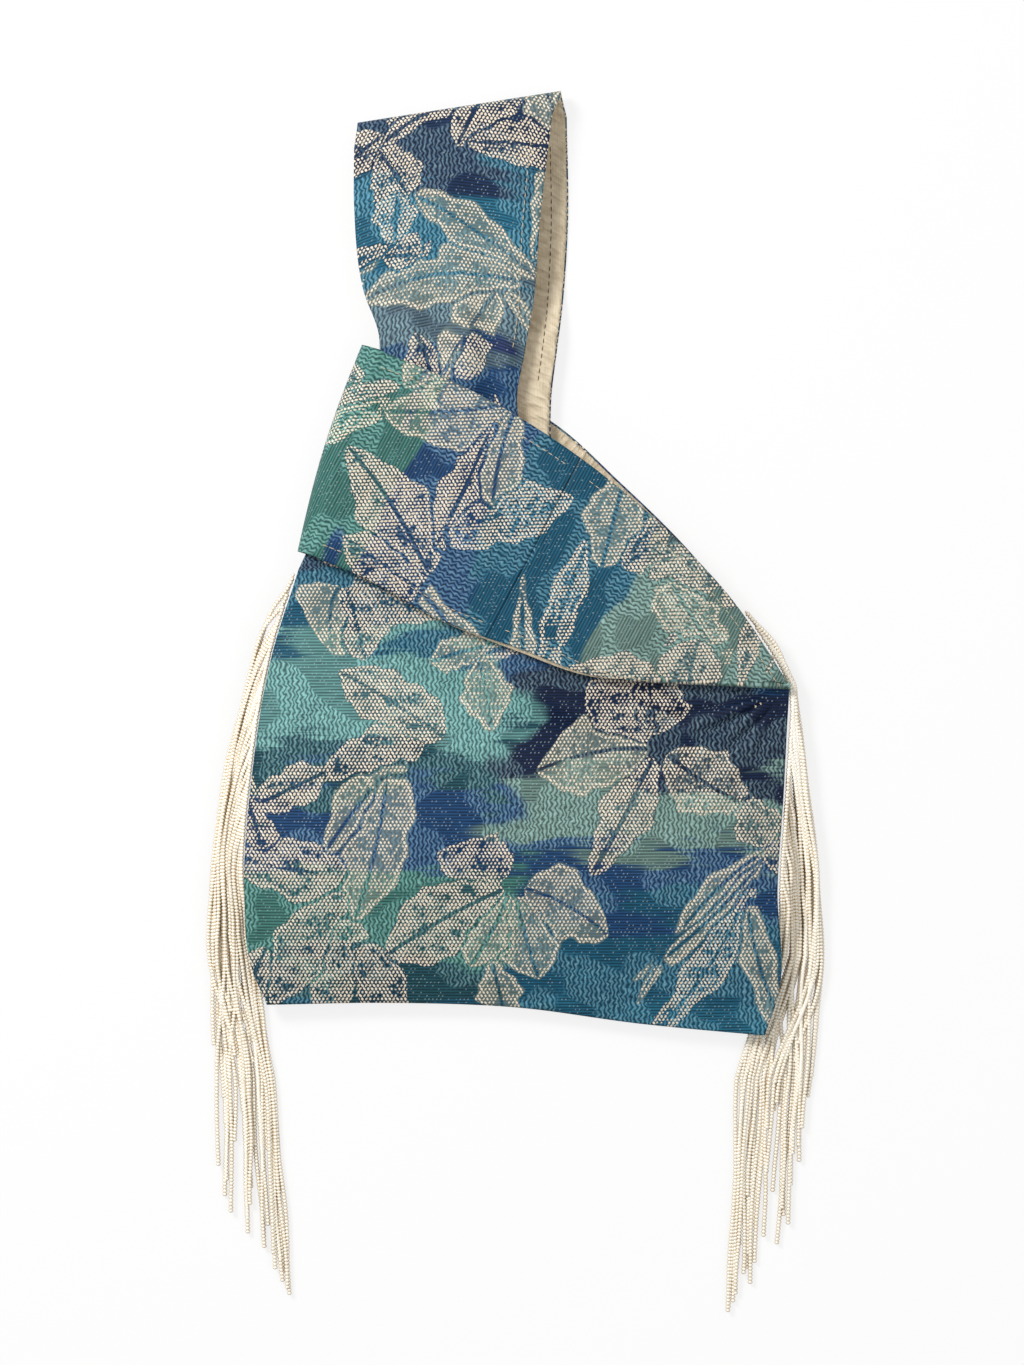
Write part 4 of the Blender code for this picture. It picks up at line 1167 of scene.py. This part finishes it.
# %% Bead material
def bead_glass():
    """Ivory glass with painted light: pale on top of each bead as a painted highlight, warm amber as
    painted shade between the beads and under them.
    """
    material, shader, yarn = new_material("bead_glass")
    lustre = yarn.add("ShaderNodeAttribute", {"attribute_name": "lustre"}, out=2)
    place = yarn.add("ShaderNodeTexCoord", out=3)
    mottle = yarn.add("ShaderNodeTexNoise", values={"Vector": place, "Scale": 420.0, "Detail": 1.0})
    # Painted light: the stored value is high on the upper side of each bead and low between and under the
    # beads, so the colour runs from painted shade to painted highlight.
    tone = (lustre + mottle * 0.3 - 0.15).ramp(0.12, 0.85)
    feed(shader, {"Base Color": tone.dye(colour(206, 178, 128), colour(252, 247, 234)),
                  "Roughness": 0.28, "Coat Weight": 0.4, "Coat Roughness": 0.12})
    return material


ivory_glass = bead_glass()
print("beads:", len(ivory_glass.node_tree.nodes), "nodes")

# %% Make the fringes
SEWN_BEADS = 84
SEWN_BEAD = 1.1 * MM
HEADING_ENDS = (2 * MM, 127 * MM)
WAIST, SEWN_WAIST = 0.56, 0.6
# Share of the painted light that is left between the beads: painted shade in the gaps.
PAINTED_GAP_SHADE = 0.25


def bead_rings(low, beads):
    """One value a ring, three rings a bead: low between the beads and 1 on them."""
    return np.append(np.tile([low, 1.0, 1.0], beads), low)


for name, side, node in (("left_strands", LEFT_SIDE, "left_bead_fringe"),
                         ("right_strands", RIGHT_SIDE, "right_bead_fringe")):
    travelled, path = seam_path(side[0])
    heading = at_distances(np.linspace(*HEADING_ENDS, 3 * SEWN_BEADS + 1), travelled, path)[None]
    strands = tubes(strand_routes(*side), bead_rings(WAIST, BEADS) * STRAND / 2, SIDES)
    sewn_row = tubes(heading, bead_rings(SEWN_WAIST, SEWN_BEADS) * SEWN_BEAD / 2, SIDES)
    fringe = tube_object(name, [strands, sewn_row], ivory_glass)
    # Painted light for the beads: pale where the surface faces up, darker where it faces sideways or down
    # and between the beads, as painted shade.
    normals = np.empty(3 * len(fringe.data.vertices))
    fringe.data.vertices.foreach_get("normal", normals)
    between = np.append(np.tile(bead_rings(PAINTED_GAP_SHADE, BEADS), STRANDS), bead_rings(PAINTED_GAP_SHADE, SEWN_BEADS))
    store(fringe, "lustre", np.clip(0.3 + 0.7 * normals[2::3], 0, 1) * np.repeat(between, SIDES))
    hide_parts(node)
    print(name, sum(len(f.vertices) - 2 for f in fringe.data.polygons), "triangles")

# %% [markdown]
# ## Topstitching
# Along its edges the cloth is stitched through both plies, about 9 mm in. A stitch is a short
# arch of thread that dips into the cloth at both ends. Its path is taken off the grid itself, one
# cloth thickness above the middle, so that it follows every fold.

# %% Stitch lines on the cloth
def grid_line(grid, column, rows, lift):
    """Points on a grid column and its normals' side: point + lift * unit normal."""
    index = int(round(column))
    down = np.gradient(grid, axis=0)[:, index]
    side = np.gradient(grid, axis=1)[:, index]
    normal = np.cross(side, down)
    normal /= np.linalg.norm(normal, axis=1)[:, None]
    return (grid[:, index] + lift * normal)[rows[0]:rows[1]]


def stitches(line, pitch=3.3 * MM, length=2.3 * MM, thick=0.42 * MM):
    """Arches: seven points along each stitch, lifted by 1 - t^2 and as thin as that at the ends."""
    middles = np.arange(pitch, distances(line)[-1] - pitch, pitch)
    t = np.linspace(-1, 1, 7)
    marks = middles[:, None] + t[None] * length / 2
    path = at_distances(marks, distances(line), line)
    path[..., 2] += (0.28 * (1 - t**2) - 0.1) * MM
    radius = np.broadcast_to(thick / 2 * np.sqrt(1 - 0.8 * t**2), marks.shape)
    return tubes(path, radius, 5)


outer = CLOTH + PLY_GAP / 2
front_strap, front_run = front_grids[1], front_grids[2]
back_strap, back_run = back_grids[1], back_grids[2]
top_rows = np.flatnonzero(back_run[:, 0, 2] > BAND_LEVEL - 0.2 * MM)[0]
pleat_end = np.flatnonzero(front_run[:, 0, 2] > BAND_LEVEL - 1.6 * MM)[0]
lines = [grid_line(front_strap, HANDLE_COLUMNS * 0.9, (70, 140), outer)]
lines += [grid_line(run, BAND_COLUMNS * share, rows, outer)
          for run, rows in ((front_run, (pleat_end, len(front_run) - 2)),
                            (back_run[::-1], (2, len(back_run) - top_rows)))
          for share in (0.075, 0.92)]
print("stitch lines:", [round(float(distances(line)[-1]) / MM) for line in lines], "mm")


# %% Thread
def thread_material(name, dark, pale):
    """Matt thread with its twist as a fine change of tone."""
    material, shader, yarn = new_material(name)
    place = yarn.add("ShaderNodeTexCoord", out=3)
    twist = yarn.add("ShaderNodeTexNoise", values={"Vector": place, "Scale": 2600.0, "Detail": 0.0})
    feed(shader, {"Base Color": twist.dye(dark, pale), "Roughness": 0.7})
    return material


beige_thread = thread_material("beige_thread", colour(178, 160, 130), colour(220, 204, 176))
brown_thread = thread_material("brown_thread", colour(70, 58, 44), colour(104, 88, 66))
topstitching = tube_object("topstitching", [stitches(line) for line in lines], beige_thread)
inner_line = grid_line(back_strap, HANDLE_COLUMNS * 0.92, (58, 138), PLY_GAP / 2 + LINING)
lining_stitching = tube_object("lining_stitching", [stitches(inner_line)], brown_thread)
print("stitches made")

# %% [markdown]
# ## Cloth facts
# A cloth may fold, and may not stretch.

print("cloth plies made")

# %% [markdown]
# ## Floor, light and camera
# The bag is seen from straight above through a long lens, on white. The floor shows nearly white
# to the camera and still takes a soft shadow: part of what the camera sees of it gives light, and
# the rest is a plain pale surface. Wide lamps and a pale world keep the colours as they are dyed.

# %% Floor
floor_mesh = bpy.data.meshes.new("floor")
floor_mesh.from_pydata([(-6, -6, 0), (6, -6, 0), (6, 6, 0), (-6, 6, 0)], [], [(0, 1, 2, 3)])
floor = bpy.data.objects.new("floor", floor_mesh)
bpy.context.scene.collection.objects.link(floor)
floor_paint, floor_shader, yarn = new_material("floor_paint")
feed(floor_shader, {"Base Color": (0.86, 0.86, 0.86, 1), "Roughness": 0.9})
glow = yarn.add("ShaderNodeEmission", values={"Color": (1, 1, 1, 1), "Strength": 0.995})
seen = yarn.add("ShaderNodeLightPath", out=0)
both = yarn.add("ShaderNodeMixShader", values={0: seen * 0.8, 1: Yarn(yarn.tree, floor_shader.outputs[0]),
                                               2: glow})
yarn.tree.links.new(both.socket, floor_paint.node_tree.nodes["Material Output"].inputs["Surface"])
floor_mesh.materials.append(floor_paint)
print("floor ready")


# %% Lamps and world
def lamp(name, place, size, power):
    """A square lamp of a size in metres that looks at the middle of the bag."""
    light = bpy.data.lights.new(name, "AREA")
    light.size = size
    light.energy = power
    item = new_object(name, light)
    item.location = place
    item.rotation_euler = (Vector((0, 0.06, 0)) - Vector(place)).to_track_quat("-Z", "Y").to_euler()


lamp("key_light", (-0.9, 0.9, 1.2), 0.5, 23)
lamp("fill_light", (0.9, -0.3, 1.6), 1.4, 6.5)
world = bpy.data.worlds.new("pale_room")
world.use_nodes = True
world.node_tree.nodes["Background"].inputs["Color"].default_value = (1.0, 1.0, 1.0, 1)
world.node_tree.nodes["Background"].inputs["Strength"].default_value = 0.5
bpy.context.scene.world = world
print("lamps ready")

# %% Camera
VIEW_HEIGHT = 600.6 * MM
LENS = 135.0
SENSOR = 36.0
camera_data = bpy.data.cameras.new("camera")
camera_data.lens = LENS
camera_data.sensor_width = SENSOR
camera = new_object("camera", camera_data)
camera.location = (-2.2 * MM, 70.6 * MM, VIEW_HEIGHT * LENS / SENSOR + 8 * MM)
bpy.context.scene.camera = camera
bpy.context.scene.view_settings.view_transform = "Standard"
print("camera", round(camera.location.z, 3), "m over the table")
